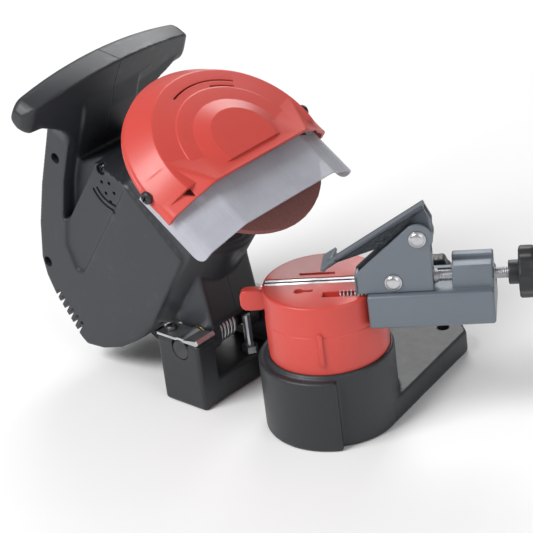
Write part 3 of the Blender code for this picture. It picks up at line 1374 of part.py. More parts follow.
def turntable(table_axis):
    """The red turntable that swivels in the cup, hollow from below."""
    low = CUP_FLOOR + CUP_FLOOR_THICKNESS + GAP
    edge = TABLE_EDGE
    profile = (
        (0, low), (TABLE_RADIUS, low), (TABLE_RADIUS, TABLE_TOP - edge), (TABLE_RADIUS - edge, TABLE_TOP),
        (0, TABLE_TOP),
    )
    shape = turned(profile)
    hollow = turned(((BOSS_RADIUS, low - OVERRUN), (TABLE_HOLLOW_RADIUS, low - OVERRUN),
                     (TABLE_HOLLOW_RADIUS, TABLE_HOLLOW_TOP), (BOSS_RADIUS, TABLE_HOLLOW_TOP)))
    cut(shape, hollow)
    fin = rounded(((-FIN_REACH, FIN_BOTTOM), (-TABLE_RADIUS + OVERRUN, FIN_BOTTOM),
                   (-TABLE_RADIUS + OVERRUN, FIN_TOP), (-FIN_REACH, FIN_TOP)), FIN_HALF_WIDTH)
    join(shape, prism(fin, -FIN_HALF_WIDTH, FIN_HALF_WIDTH, "XZ"))
    half = POINTER_WIDTH / 2
    pointer = block((-half, -TABLE_RADIUS - POINTER_PROUD, POINTER_BOTTOM), (half, -TABLE_RADIUS + OVERRUN, POINTER_TOP))
    join(shape, pointer)
    top = TABLE_TOP + OVERRUN
    beam = block((BEAM_START - GAP, -BEAM_FRONT - GAP, BEAM_BOTTOM - GAP), (TABLE_RADIUS + OVERRUN, BEAM_BACK + GAP, top))
    tongue = TONGUE_HALF_WIDTH + GAP
    tongue_room = block((-TONGUE_START - GAP, -tongue, TONGUE_BOTTOM - GAP),
                        (BEAM_START, tongue, TONGUE_BOTTOM + TONGUE_THICKNESS + GAP))
    head_low = TONGUE_BOTTOM + TONGUE_THICKNESS
    head_room = rod(PIVOT_HEAD_RADIUS + GAP, head_low, head_low + PIVOT_HEAD_HEIGHT + GAP * 4)
    shank = rod(PIVOT_RADIUS + GAP, low - OVERRUN, TONGUE_BOTTOM)
    slot_half = JAW_GAP / 2 + JAW_SHEET + GAP
    trench = block((-JAW_START - GAP, -slot_half, JAW_BOTTOM - GAP), (BEAM_START, slot_half, top))
    cut(shape, beam, tongue_room, head_room, shank, trench)
    groove = GROOVE_HALF_WIDTH
    start = FOOT_START - SPRING_LENGTH - CARRIAGE_TRAVEL - OVERRUN
    spring_room = block((start, -CARRIAGE_MIDDLE - groove, GROOVE_BOTTOM),
                        (BEAM_START, -CARRIAGE_MIDDLE + groove, top))
    cut(shape, spring_room)
    return piece("turntable", shape, "red_plastic", table_axis)


def pivot_parts(table_axis, knob_axis):
    """Pivot bolt, its washer and the clamp knob below the cup floor."""
    head_low = TONGUE_BOTTOM + TONGUE_THICKNESS + GAP
    head_high = head_low + PIVOT_HEAD_HEIGHT
    bolt = turned(((0, PIVOT_BOTTOM), (PIVOT_RADIUS, PIVOT_BOTTOM), (PIVOT_RADIUS, head_low),
                   (PIVOT_HEAD_RADIUS, head_low), (PIVOT_HEAD_RADIUS, head_high), (0, head_high)), "Z", SMALL_STEPS)
    piece("pivot_bolt", bolt, "bright_steel", table_axis)
    washer_top = CUP_FLOOR - GAP
    washer_low = washer_top - WASHER_THICKNESS
    bore = PIVOT_RADIUS + GAP
    piece("pivot_washer", ring(bore, WASHER_RADIUS, washer_low, washer_top), "bright_steel", table_axis)
    knob_top = washer_low - GAP
    grip_top = knob_top - WASHER_THICKNESS * 2
    knob = prism(lobed(KNOB_RADIUS, KNOB_LOBE_DEPTH_SHARE, KNOB_LOBES, ROUND_STEPS), KNOB_BOTTOM, grip_top)
    soften(knob, WASHER_THICKNESS)
    join(knob, rod(KNOB_HUB_RADIUS, KNOB_BOTTOM + OVERRUN, knob_top, steps=SMALL_STEPS))
    cut(knob, rod(bore, KNOB_BOTTOM - OVERRUN, knob_top + OVERRUN))
    piece("clamp_knob", knob, "black_plastic", knob_axis)


def vise_body(table_axis):
    """The grey vise casting: beam, tongue under the turntable's roof, and screw block."""
    shape = soften(block((BEAM_START, -BEAM_FRONT, BEAM_BOTTOM), (BEAM_END, BEAM_BACK, BEAM_TOP)), BEAM_EDGE)
    tongue_top = TONGUE_BOTTOM + TONGUE_THICKNESS
    join(shape, block((-TONGUE_START, -TONGUE_HALF_WIDTH, TONGUE_BOTTOM),
                      (BEAM_START + OVERRUN * 2, TONGUE_HALF_WIDTH - BEAM_BACK / 2, tongue_top)))
    screw_block = block((BLOCK_START, -SCREW_BLOCK_FRONT, BEAM_TOP - OVERRUN),
                        (BEAM_END, -SCREW_BLOCK_BACK + OVERRUN, SCREW_BLOCK_TOP))
    ledge = block((BLOCK_START, -SCREW_BLOCK_BACK, BEAM_TOP - OVERRUN), (BEAM_END, -LEDGE_BACK, LEDGE_TOP))
    join(shape, soften(screw_block, BEAM_EDGE, 1), soften(ledge, BEAM_EDGE, 1))
    slot_half = JAW_GAP / 2 + JAW_SHEET + GAP
    trench = block((BEAM_START - OVERRUN, -slot_half, JAW_BOTTOM - GAP), (BEAM_END + OVERRUN, slot_half, LEDGE_TOP))
    groove = block((BEAM_START - OVERRUN, -CARRIAGE_MIDDLE - GROOVE_HALF_WIDTH, GROOVE_BOTTOM),
                   (GROOVE_END, -CARRIAGE_MIDDLE + GROOVE_HALF_WIDTH, BEAM_TOP + OVERRUN))
    thread = rod(ADJUST_RADIUS + GAP, BLOCK_START - OVERRUN, BEAM_END + OVERRUN, "X")
    moved(thread, (0, -CARRIAGE_MIDDLE, ADJUST_RISE))
    clamp = rod(JAW_SCREW_RADIUS + GAP, 0, BEAM_BACK + OVERRUN, "Y")
    moved(clamp, (JAW_SCREW_ALONG, 0, JAW_SCREW_RISE))
    bolt = rod(PIVOT_RADIUS + GAP, TONGUE_BOTTOM - OVERRUN, tongue_top + OVERRUN)
    cut(shape, trench, groove, thread, clamp, bolt)
    return piece("vise_body", shape, "grey_paint", table_axis)


def jaw(name, side, parent, offset=(0, 0, 0)):
    """A long steel jaw plate in the slot."""
    low, high = sorted((side * JAW_GAP / 2, side * (JAW_GAP / 2 + JAW_SHEET)))
    shape = block((-JAW_START, low, JAW_BOTTOM), (JAW_END, high, TABLE_TOP - GAP))
    return piece(name, shape, "bright_steel", parent, offset)


def jaw_screw(axis):
    """The clamp screw behind the moving jaw, with its knob; its axis runs through the knob's middle."""
    start = JAW_GAP / 2 + JAW_SHEET + GAP
    knob_start = BEAM_BACK + JAW_KNOB_GAP
    shape = rod(JAW_SCREW_RADIUS, start, knob_start + JAW_KNOB_WIDTH / 2, "Y")
    piece("jaw_screw", shape, "dark_steel", axis)
    return knob_start


def jaw_knob(axis, knob_start):
    """The knob on the jaw screw."""
    outline = lobed(JAW_KNOB_RADIUS, KNOB_LOBE_DEPTH_SHARE, KNOB_LOBES + 1, ROUND_STEPS)
    shape = prism(outline, knob_start, knob_start + JAW_KNOB_WIDTH, "XZ")
    cut(shape, rod(JAW_SCREW_RADIUS + GAP, knob_start - OVERRUN, knob_start + JAW_KNOB_WIDTH / 2 + GAP, "Y"))
    piece("jaw_knob", shape, "black_plastic", axis)


def ear_outline():
    """Side outline of the carriage ears."""
    low = BEAM_TOP + GAP
    return [
        (CARRIAGE_START, low), (CARRIAGE_END, low), (CARRIAGE_END, LEVER_PIVOT[1] - EAR_RADIUS / 2),
        *arc(LEVER_PIVOT, EAR_RADIUS, EAR_START, EAR_END, CORNER_STEPS * 2),
        (CARRIAGE_START, CARRIAGE_FRONT_TOP),
    ]


def carriage(axis):
    """The folded carriage: two ears joined below and behind, and a foot in the groove."""
    outline = ear_outline()
    low = BEAM_TOP + GAP
    front = -CARRIAGE_MIDDLE - CARRIAGE_HALF_WIDTH
    back = -CARRIAGE_MIDDLE + CARRIAGE_HALF_WIDTH
    shape = prism(outline, front, front + CARRIAGE_SHEET, "XZ")
    join(shape, prism(outline, back - CARRIAGE_SHEET, back, "XZ"))
    join(
        shape,
        block((CARRIAGE_START, front, low), (CARRIAGE_END, back, low + CARRIAGE_PLATE)),
        block((CARRIAGE_END - CARRIAGE_SHEET, front, low), (CARRIAGE_END, back, CARRIAGE_WEB_TOP)),
        block((CARRIAGE_START, front, low), (CARRIAGE_START + CARRIAGE_SHEET, back, CARRIAGE_FRONT_TOP)),
        block((FOOT_START, -CARRIAGE_MIDDLE - GROOVE_HALF_WIDTH + FOOT_CLEARANCE, GROOVE_BOTTOM + FOOT_CLEARANCE),
              (FOOT_END, -CARRIAGE_MIDDLE + GROOVE_HALF_WIDTH - FOOT_CLEARANCE, low + CARRIAGE_PLATE / 2)),
    )
    web = rod(ADJUST_RADIUS + GAP, CARRIAGE_END - CARRIAGE_SHEET - OVERRUN, CARRIAGE_END + OVERRUN, "X")
    cut(shape, moved(web, (0, -CARRIAGE_MIDDLE, ADJUST_RISE)))
    for x, z in ((RIVET_ALONG, RIVET_RISE), LEVER_PIVOT):
        hole = rod(RIVET_RADIUS + GAP, front - OVERRUN, back + OVERRUN, "Y")
        cut(shape, moved(hole, (x, 0, z)))
    return piece("carriage", shape, "grey_paint", axis)


def rivet(name, place, axis):
    """A domed rivet through both ears."""
    half = CARRIAGE_HALF_WIDTH + GAP
    head = RIVET_HEAD_RADIUS
    rise = RIVET_HEAD_HEIGHT
    crown, crest = RIVET_CROWN_SHARES
    edge = rise * RIVET_EDGE_SHARE
    profile = (
        (0, -half - rise), (head * crown, -half - rise * crest), (head, -half - edge), (head, -half),
        (RIVET_RADIUS, -half), (RIVET_RADIUS, half), (head, half), (head, half + edge),
        (head * crown, half + rise * crest), (0, half + rise),
    )
    shape = turned(profile, "Y", SMALL_STEPS)
    return piece(name, moved(shape, (place[0], -CARRIAGE_MIDDLE, place[1])), "bright_steel", axis)


def spring_rise():
    """Height of the carriage spring, just clear of the groove's floor."""
    return GROOVE_BOTTOM + SPRING_RADIUS + SPRING_WIRE_RADIUS + GAP


def carriage_spring(axis):
    """The compression spring that takes up the play of the carriage."""
    pitch = (SPRING_LENGTH - 2 * SPRING_WIRE_RADIUS) / SPRING_TURNS
    points = coil_points(SPRING_RADIUS, pitch, SPRING_TURNS)
    start = FOOT_START - GAP - SPRING_LENGTH + SPRING_WIRE_RADIUS
    points = [(start + x, y - CARRIAGE_MIDDLE, z + spring_rise()) for x, y, z in points]
    report_self_gap("carriage_spring", points, SPRING_WIRE_RADIUS)
    return wire("carriage_spring", points, SPRING_WIRE_RADIUS, "bright_steel", axis)


def stop_lever(lever_axis):
    """The folded chain stop lever: two flanges, a top plate and a turned-down tip."""
    pivot = Vector(LEVER_PIVOT)
    tip = Vector(LEVER_TIP)
    tail = Vector(LEVER_TAIL)
    span = tail - tip
    side_play = CARRIAGE_HALF_WIDTH - CARRIAGE_SHEET - GAP
    low_points = [(tip.x + a * span.x, tip.y + b * span.y) for a, b in LEVER_SHARES]
    outline = [tuple(tip), tuple(tail), LEVER_TAIL_LOW]
    outline += arc(LEVER_PIVOT, EAR_RADIUS, LEVER_ROUND_START, LEVER_ROUND_END, CORNER_STEPS * 2)
    outline += low_points[::-1]
    shape = prism(outline, -side_play, -side_play + LEVER_SHEET, "XZ")
    join(shape, prism(outline, side_play - LEVER_SHEET, side_play, "XZ"))
    across = span.normalized()
    down = Vector((across.y, -across.x)) * LEVER_SHEET
    plate = [tuple(tip), tuple(tail), tuple(tail + down), tuple(tip + down)]
    join(shape, prism(plate, -side_play, side_play, "XZ"))
    reach = tip - across * LEVER_TIP_REACH
    nose = [tuple(reach), tuple(tip + across * LEVER_TIP_REACH), tuple(tip + across * LEVER_TIP_REACH + down),
            tuple(reach + down)]
    back = CARRIAGE_MIDDLE - LEVER_TIP_BACK
    join(shape, prism(nose, -side_play, back, "XZ"))
    tab = [tuple(reach), tuple(reach + Vector((LEVER_SHEET, 0))), (reach.x + LEVER_SHEET, reach.y - LEVER_TIP_DROP),
           (reach.x, reach.y - LEVER_TIP_DROP)]
    join(shape, prism(tab, side_play, back, "XZ"))
    hole = rod(RIVET_RADIUS + GAP, -side_play - OVERRUN, side_play + OVERRUN, "Y")
    cut(shape, moved(hole, (pivot.x, 0, pivot.y)))
    return piece("stop_lever", shape, "grey_paint", lever_axis, (-pivot.x, 0, -pivot.y))


def adjusting_parts(axis):
    """Adjusting screw, its two collars round the carriage web, and its knob; the axis is the screw's own."""
    hub_end = ADJUST_KNOB_START
    screw = rod(ADJUST_RADIUS, ADJUST_START, hub_end + ADJUST_DOME, "X")
    inner_end = CARRIAGE_END - CARRIAGE_SHEET - GAP
    join(screw, rod(COLLAR_RADIUS, inner_end - COLLAR_WIDTH, inner_end, "X"))
    piece("adjusting_screw", screw, "bright_steel", axis)
    bore = ADJUST_RADIUS + GAP
    outer_start = CARRIAGE_END + GAP
    collar = ring(bore, COLLAR_RADIUS, outer_start, outer_start + COLLAR_WIDTH, "X", SMALL_STEPS)
    piece("screw_collar", collar, "bright_steel", axis)
    outline = lobed(ADJUST_KNOB_RADIUS, ADJUST_LOBE_SHARE, ADJUST_LOBES, ROUND_STEPS * 2)
    knob = prism(outline, ADJUST_KNOB_START, ADJUST_KNOB_END - ADJUST_DOME, "YZ")
    cap = ADJUST_KNOB_RADIUS * (1 - ADJUST_LOBE_SHARE)
    dome_part = turned(((0, ADJUST_KNOB_START + GAP), (cap, ADJUST_KNOB_START + GAP),
                        (cap, ADJUST_KNOB_END - ADJUST_DOME), (cap * ADJUST_DOME_SHARE, ADJUST_KNOB_END - ADJUST_DOME / 4),
                        (0, ADJUST_KNOB_END)), "X", SMALL_STEPS)
    join(knob, dome_part, rod(ADJUST_HUB_RADIUS, ADJUST_HUB_START, ADJUST_KNOB_START + OVERRUN, "X"))
    cut(knob, rod(bore, ADJUST_HUB_START - OVERRUN, hub_end + ADJUST_DOME + GAP, "X"))
    piece("adjusting_knob", knob, "black_plastic", axis)


def build_base():
    """The fixed pieces."""
    base_casting()
    hinge_pin()
    saddle_strap("saddle_strap_near", -1)
    saddle_strap("saddle_strap_far", 1)
    strap_screws()
    depth_stop()
    head_return_spring()


def build_head():
    """The tilting head and the spinning parts in it."""
    head = axis_empty("head_axis", (0, 0, PIN_HEIGHT), -HEAD_TILT, "Y")
    offset = (WHEEL_ALONG, 0, WHEEL_UP)
    spindle = axis_empty("spindle_axis", offset, parent=head)
    body = housing_body()
    housing_half("housing_near", body, -1, head, offset)
    housing_half("housing_far", body, 1, head, offset)
    bpy.data.objects.remove(body, do_unlink=True)
    housing_screws(head, offset)
    hinge_bushes(head, offset)
    stator_parts(head, offset)
    bearing("front_bearing", FRONT_BEARING, head, offset)
    bearing("rear_bearing", REAR_BEARING, head, offset)
    brush_gear(head, offset)
    wheel_guard(head, offset)
    clear_shield(head, offset)
    guard_backplate(head, offset)
    guard_screws(head, offset)
    shield_screws(head, offset)
    switch_along, switch_up = from_shares([SWITCH_SHARES])[0]
    rocker_place = (WHEEL_ALONG + switch_along, HOUSING_HALF_WIDTH, WHEEL_UP + switch_up)
    rocker_axis = axis_empty("rocker_axis", rocker_place, parent=head)
    switch_parts(head, offset, rocker_axis)
    cord_gland(head, offset)
    motor_shaft(spindle)
    armature(spindle)
    cooling_fan(spindle)
    wheel_parts(spindle)


def build_vise():
    """The turntable and what it carries."""
    table = axis_empty("table_axis", (CUP_FROM_PIN, 0, 0), TABLE_TURN, "Z")
    turntable(table)
    pivot_parts(table, axis_empty("knob_axis", (0, 0, 0), parent=table))
    vise_body(table)
    jaw("fixed_jaw", -1, table)
    moving = axis_empty("moving_jaw_axis", (0, 0, 0), parent=table)
    jaw("moving_jaw", 1, moving)
    clamp = axis_empty("jaw_screw_axis", (JAW_SCREW_ALONG, 0, JAW_SCREW_RISE), parent=moving)
    jaw_knob(clamp, jaw_screw(clamp))
    slide = axis_empty("carriage_axis", (0, 0, 0), parent=table)
    carriage(slide)
    rivet("carriage_rivet", (RIVET_ALONG, RIVET_RISE), slide)
    rivet("lever_rivet", LEVER_PIVOT, slide)
    carriage_spring(slide)
    stop_lever(axis_empty("lever_axis", (LEVER_PIVOT[0], -CARRIAGE_MIDDLE, LEVER_PIVOT[1]), parent=slide))
    adjusting_parts(axis_empty("adjusting_axis", (0, -CARRIAGE_MIDDLE, ADJUST_RISE), parent=slide))


clear_scene()
build_base()
build_head()
build_vise()
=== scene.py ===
"""Looks of an electric saw chain sharpener: finishes, fine shapes, stage, lamps and camera.

Everything is in metres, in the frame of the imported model: the origin lies on the underside of the base, straight
below the hinge pin, +Z is up and +X runs from the hinge to the swivelling vise.
"""

from __future__ import annotations

import json
import logging
import math
from collections.abc import Sequence
from dataclasses import dataclass, field
from enum import Enum
from typing import Any, Union

import bmesh
import bpy
from mathutils import Matrix, Vector


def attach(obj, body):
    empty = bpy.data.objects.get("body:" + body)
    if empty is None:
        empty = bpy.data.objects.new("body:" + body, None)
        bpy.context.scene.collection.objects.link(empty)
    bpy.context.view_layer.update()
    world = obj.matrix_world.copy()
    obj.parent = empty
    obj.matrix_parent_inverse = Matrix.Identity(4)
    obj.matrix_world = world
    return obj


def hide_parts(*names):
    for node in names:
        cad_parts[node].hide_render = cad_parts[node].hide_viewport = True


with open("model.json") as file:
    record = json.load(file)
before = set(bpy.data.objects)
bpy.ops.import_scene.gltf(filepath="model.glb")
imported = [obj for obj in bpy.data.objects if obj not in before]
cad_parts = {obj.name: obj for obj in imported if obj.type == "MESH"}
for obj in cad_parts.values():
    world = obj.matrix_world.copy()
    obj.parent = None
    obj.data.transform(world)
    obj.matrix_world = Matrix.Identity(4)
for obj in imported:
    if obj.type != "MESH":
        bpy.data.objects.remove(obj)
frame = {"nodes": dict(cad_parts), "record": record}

LOG = logging.getLogger("sharpener")
Colour = tuple[float, float, float]
Point2 = tuple[float, float]
Point3 = tuple[float, float, float]
SHARP = math.radians(32)
HEAD_TILT = math.radians(54)
VISE_TURN = math.radians(35)
GAP = 0.0003
SCREW_HOLE = 0.0033
PIN_HOLE = 0.0023
BOLT_HOLE = 0.0043


class Wire:
    """A value on its way through a material's nodes, which can be used in sums."""

    def __init__(self, board: Board, source: bpy.types.NodeSocket) -> None:
        """Keeps the board and the socket that the value comes from."""
        self.board = board
        self.source = source

    def _math(self, operation: str, first: Value, second: Value = 0.0) -> Wire:
        """Adds one Math node.

        Args:
            operation: The operation of the Math node.
            first: Its first value.
            second: Its second value.

        Returns:
            The result.
        """
        made = self.board.node("ShaderNodeMath", {"operation": operation}, {0: first, 1: second})
        return Wire(self.board, made.outputs[0])

    def __add__(self, other: Value) -> Wire:
        """The sum."""
        return self._math("ADD", self, other)

    __radd__ = __add__

    def __sub__(self, other: Value) -> Wire:
        """The difference."""
        return self._math("SUBTRACT", self, other)

    def __rsub__(self, other: Value) -> Wire:
        """The difference, from the other side."""
        return self._math("SUBTRACT", other, self)

    def __mul__(self, other: Value) -> Wire:
        """The product."""
        return self._math("MULTIPLY", self, other)

    __rmul__ = __mul__

    def above(self, edge: float, softness: float) -> Wire:
        """A mask that is 1 where the value is above an edge, with a soft border."""
        made = self.board.node(
            "ShaderNodeMapRange", {"interpolation_type": "SMOOTHSTEP"},
            {"Value": self, "From Min": edge - softness, "From Max": edge + softness})
        return Wire(self.board, made.outputs[0])


Value = Union[Wire, float]


class Board:
    """The nodes of one material, with its shader ready."""

    def __init__(self, name: str) -> None:
        """Makes the material.

        Args:
            name: The material's name.
        """
        self.material = bpy.data.materials.new(name)
        self.material.use_nodes = True
        self.tree = self.material.node_tree
        self.shader = self.tree.nodes["Principled BSDF"]
        self.place = self.node("ShaderNodeTexCoord").outputs["Object"]

    def node(self, kind: str, settings: dict[str, Any] | None = None,
             values: dict[Any, Any] | None = None) -> bpy.types.Node:
        """Adds a node.

        Args:
            kind: The node's type.
            settings: Its own settings, set first; "stops" are a ramp's places and colours.
            values: Values or wires for its sockets.

        Returns:
            The node.
        """
        made = self.tree.nodes.new(kind)
        for key, value in (settings or {}).items():
            if key == "stops":
                ramp = made.color_ramp
                while len(ramp.elements) < len(value):
                    ramp.elements.new(0.5)
                for stop, (where, colour) in zip(ramp.elements, value):
                    stop.position = where
                    stop.color = (*colour, 1.0)
            else:
                setattr(made, key, value)
        for key, value in (values or {}).items():
            self.feed(made.inputs[key], value)
        return made

    def feed(self, socket: bpy.types.NodeSocket, value: Any) -> None:
        """Sets a socket, or links a wire to it."""
        if isinstance(value, Wire):
            self.tree.links.new(value.source, socket)
        elif isinstance(value, bpy.types.NodeSocket):
            self.tree.links.new(value, socket)
        else:
            socket.default_value = value

    def stretched(self, scale: Point3, turn: Point3 = (0.0, 0.0, 0.0)) -> bpy.types.NodeSocket:
        """Coordinates stretched along the axes, after a turn."""
        mapping = {"Vector": self.place, "Scale": scale, "Rotation": turn}
        return self.node("ShaderNodeMapping", None, mapping).outputs["Vector"]

    def noise(self, per_metre: float, detail: float = 3.0, rough: float = 0.55,
              where: bpy.types.NodeSocket | None = None) -> Wire:
        """Cloudy noise from 0 to 1.

        Args:
            per_metre: How many clouds lie on a metre.
            detail: How many finer layers it has.
            rough: How strong the finer layers are.
            where: Coordinates, if not the plain ones.

        Returns:
            The noise.
        """
        made = self.node("ShaderNodeTexNoise", None, {
            "Vector": where or self.place, "Scale": per_metre, "Detail": detail, "Roughness": rough})
        return Wire(self, made.outputs["Fac"])

    def cells(self, per_metre: float) -> Wire:
        """Distance within random cells."""
        made = self.node("ShaderNodeTexVoronoi", {"feature": "F1"}, {"Vector": self.place, "Scale": per_metre})
        return Wire(self, made.outputs["Distance"])

    def blend(self, factor: Value, first: Any, second: Any) -> Wire:
        """Mixes two colours.

        Args:
            factor: Share of the second colour.
            first: A colour or a wire.
            second: A colour or a wire.

        Returns:
            The mixed colour.
        """
        colours = [(*value, 1.0) if isinstance(value, tuple) else value for value in (first, second)]
        made = self.node("ShaderNodeMix", {"data_type": "RGBA"}, {0: factor, 6: colours[0], 7: colours[1]})
        return Wire(self, made.outputs[2])

    def relief(self, height: Wire, depth: float, edge: float) -> None:
        """Gives the surface its small relief and rounds its sharp edges.

        Args:
            height: The relief, from 0 to 1.
            depth: How deep the relief is, in metres.
            edge: Radius of the rounded edges, in metres.
        """
        rounded = self.node("ShaderNodeBevel", {"samples": 4}, {"Radius": edge})
        bump = self.node("ShaderNodeBump", None, {
            "Height": height, "Distance": depth, "Strength": 1.0, "Normal": rounded.outputs[0]})
        self.feed(self.shader.inputs["Normal"], bump.outputs[0])

    def plain(self, **values: Any) -> None:
        """Sets uniform values on the shader's own sockets."""
        for key, value in values.items():
            self.shader.inputs[key.replace("_", " ")].default_value = value


@dataclass(frozen=True)
class Plastic:
    """Moulded plastic with a fine grain, rubbed places and faint flow marks."""

    name: str
    colour: Colour
    rubbed: Colour
    roughness: float = 0.42
    grain: float = 2600.0
    depth: float = 0.00002
    edge: float = 0.0007
    coat: float = 0.0
    wear: float = 0.35

    def material(self) -> bpy.types.Material:
        """Makes the material.

        Returns:
            The material.
        """
        board = Board(self.name)
        grain = board.noise(self.grain, 2.0)
        cloud = board.noise(22.0, 4.0)
        scuff = board.noise(140.0, 5.0, 0.7).above(0.62, 0.10) * board.noise(35.0).above(0.52, 0.12)
        tone = board.blend(cloud * 0.35, self.colour, tuple(share * 0.82 for share in self.colour))
        tone = board.blend(scuff * self.wear, tone, self.rubbed)
        board.feed(board.shader.inputs["Base Color"], tone)
        board.feed(board.shader.inputs["Roughness"], self.roughness + cloud * 0.08 - scuff * 0.10 + grain * 0.05)
        board.plain(Coat_Weight=self.coat, Coat_Roughness=0.22)
        board.relief(grain, self.depth, self.edge)
        return board.material


@dataclass(frozen=True)
class CastPaint:
    """Paint on a casting: soft lumps below, a fine orange peel on top."""

    name: str
    colour: Colour
    chip: Colour
    roughness: float = 0.45
    metallic: float = 0.0
    lumps: float = 260.0
    depth: float = 0.00010
    edge: float = 0.0009

    def material(self) -> bpy.types.Material:
        """Makes the material.

        Returns:
            The material.
        """
        board = Board(self.name)
        lumps = board.noise(self.lumps, 3.0)
        peel = board.noise(self.lumps * 6.0, 2.0)
        cloud = board.noise(30.0, 3.0)
        worn = board.noise(420.0, 4.0, 0.75).above(0.70, 0.04) * board.noise(60.0).above(0.55, 0.08)
        tone = board.blend(cloud * 0.4, self.colour, tuple(share * 0.78 for share in self.colour))
        tone = board.blend(worn * 0.7, tone, self.chip)
        board.feed(board.shader.inputs["Base Color"], tone)
        board.feed(board.shader.inputs["Roughness"], self.roughness + lumps * 0.14 - worn * 0.1)
        board.plain(Metallic=self.metallic)
        board.relief(lumps * 0.7 + peel * 0.3, self.depth, self.edge)
        return board.material


@dataclass(frozen=True)
class Metal:
    """Bare or plated metal with fine lines along one direction and dull patches."""

    name: str
    colour: Colour
    dull: Colour
    roughness: float = 0.25
    lines: Point3 = (300.0, 300.0, 6000.0)
    depth: float = 0.000006
    edge: float = 0.0003

    def material(self) -> bpy.types.Material:
        """Makes the material.

        Returns:
            The material.
        """
        board = Board(self.name)
        lines = board.noise(1.0, 3.0, 0.6, board.stretched(self.lines))
        patch = board.noise(90.0, 4.0, 0.6).above(0.55, 0.15)
        speck = board.cells(900.0).above(0.55, 0.2)
        tone = board.blend(patch * 0.45 + speck * 0.1, self.colour, self.dull)
        board.feed(board.shader.inputs["Base Color"], tone)
        board.feed(board.shader.inputs["Roughness"], self.roughness + patch * 0.14 + lines * 0.10)
        board.plain(Metallic=1.0)
        board.relief(lines, self.depth, self.edge)
        return board.material


@dataclass(frozen=True)
class BondedGrit:
    """Abrasive grains in their bond, with open pores."""

    name: str
    colour: Colour
    grain: Colour
    pore: Colour

    def material(self) -> bpy.types.Material:
        """Makes the material.

        Returns:
            The material.
        """
        board = Board(self.name)
        grains = board.cells(2600.0)
        pores = board.noise(1900.0, 2.0).above(0.62, 0.06)
        cloud = board.noise(70.0, 3.0)
        tone = board.blend(grains.above(0.45, 0.2), self.grain, self.colour)
        tone = board.blend(pores * 0.45 + cloud * 0.15, tone, self.pore)
        board.feed(board.shader.inputs["Base Color"], tone)
        board.feed(board.shader.inputs["Roughness"], 0.78 + grains * 0.2)
        board.relief(grains * 0.7 + pores * -0.5, 0.00010, 0.0004)
        return board.material


@dataclass(frozen=True)
class ClearSheet:
    """Clear bent plastic sheet with handling haze and hair scratches."""

    name: str
    colour: Colour
    alpha: float = 0.62

    def material(self) -> bpy.types.Material:
        """Makes the material.

        Returns:
            The material.
        """
        board = Board(self.name)
        haze = board.noise(45.0, 4.0)
        along = board.stretched((90.0, 2600.0, 90.0), (0.5, 0.4, 0.9))
        hair = board.noise(1.0, 2.0, 0.5, along).above(0.68, 0.03)
        board.feed(board.shader.inputs["Base Color"], board.blend(haze * 0.5, self.colour, (0.80, 0.81, 0.86)))
        board.feed(board.shader.inputs["Roughness"], 0.10 + haze * 0.10 + hair * 0.2)
        board.feed(board.shader.inputs["Alpha"], self.alpha + haze * 0.12 + hair * 0.1)
        board.plain(IOR=1.5, Coat_Weight=0.4, Coat_Roughness=0.08)
        board.relief(haze * 0.5 + hair * 0.5, 0.00001, 0.0004)
        return board.material


class Finish(Enum):
    """The finishes of the sharpener, by the record's material slots."""

    BLACK_CASTING = CastPaint("black_casting_finish", (0.022, 0.024, 0.028), (0.10, 0.10, 0.11), 0.38)
    BLACK_HOUSING = Plastic("black_housing_finish", (0.024, 0.026, 0.032), (0.07, 0.075, 0.09), 0.38, 2600.0,
                            0.00002, 0.0007, 0.0, 0.15)
    RED_PLASTIC = Plastic("red_plastic_finish", (0.62, 0.060, 0.045), (0.72, 0.14, 0.11), 0.36, 1500.0, 0.00001,
                          0.0008, 0.2, 0.10)
    GREY_PAINT = CastPaint("grey_paint_finish", (0.165, 0.190, 0.222), (0.40, 0.41, 0.43), 0.36, 0.3, 500.0,
                           0.00005, 0.0006)
    BRIGHT_STEEL = Metal("bright_steel_finish", (0.60, 0.60, 0.62), (0.40, 0.40, 0.42))
    DARK_STEEL = Metal("dark_steel_finish", (0.075, 0.077, 0.085), (0.16, 0.15, 0.15), 0.34)
    STONE = BondedGrit("stone_finish", (0.23, 0.085, 0.078), (0.30, 0.135, 0.12), (0.13, 0.045, 0.040))
    CLEAR_SHIELD = ClearSheet("clear_shield_finish", (0.46, 0.47, 0.54))
    BLACK_PLASTIC = Plastic("black_plastic_finish", (0.018, 0.019, 0.022), (0.07, 0.07, 0.08), 0.36, 2200.0)
    COPPER = Metal("copper_finish", (0.80, 0.36, 0.20), (0.50, 0.20, 0.10), 0.30, (4000.0, 300.0, 300.0))
    LAMINATION = Metal("lamination_finish", (0.38, 0.39, 0.41), (0.22, 0.22, 0.23), 0.42, (9000.0, 200.0, 200.0))
    CARBON = Plastic("carbon_finish", (0.030, 0.030, 0.032), (0.10, 0.10, 0.11), 0.55)
    BRASS = Metal("brass_finish", (0.74, 0.56, 0.24), (0.50, 0.36, 0.14), 0.28)


FINISHED: dict[Finish, bpy.types.Material] = {}


def finish(which: Finish) -> bpy.types.Material:
    """Gives the material of a finish, made when it is first asked for."""
    if which not in FINISHED:
        FINISHED[which] = which.value.material()
    return FINISHED[which]


def made(bm: bmesh.types.BMesh, name: str) -> bpy.types.Object:
    """Turns a bmesh into an object of the scene.

    Args:
        bm: The mesh, which is freed.
        name: The object's name.

    Returns:
        The object.
    """
    bmesh.ops.recalc_face_normals(bm, faces=bm.faces)
    mesh = bpy.data.meshes.new(name)
    bm.to_mesh(mesh)
    bm.free()
    thing = bpy.data.objects.new(name, mesh)
    bpy.context.scene.collection.objects.link(thing)
    return thing


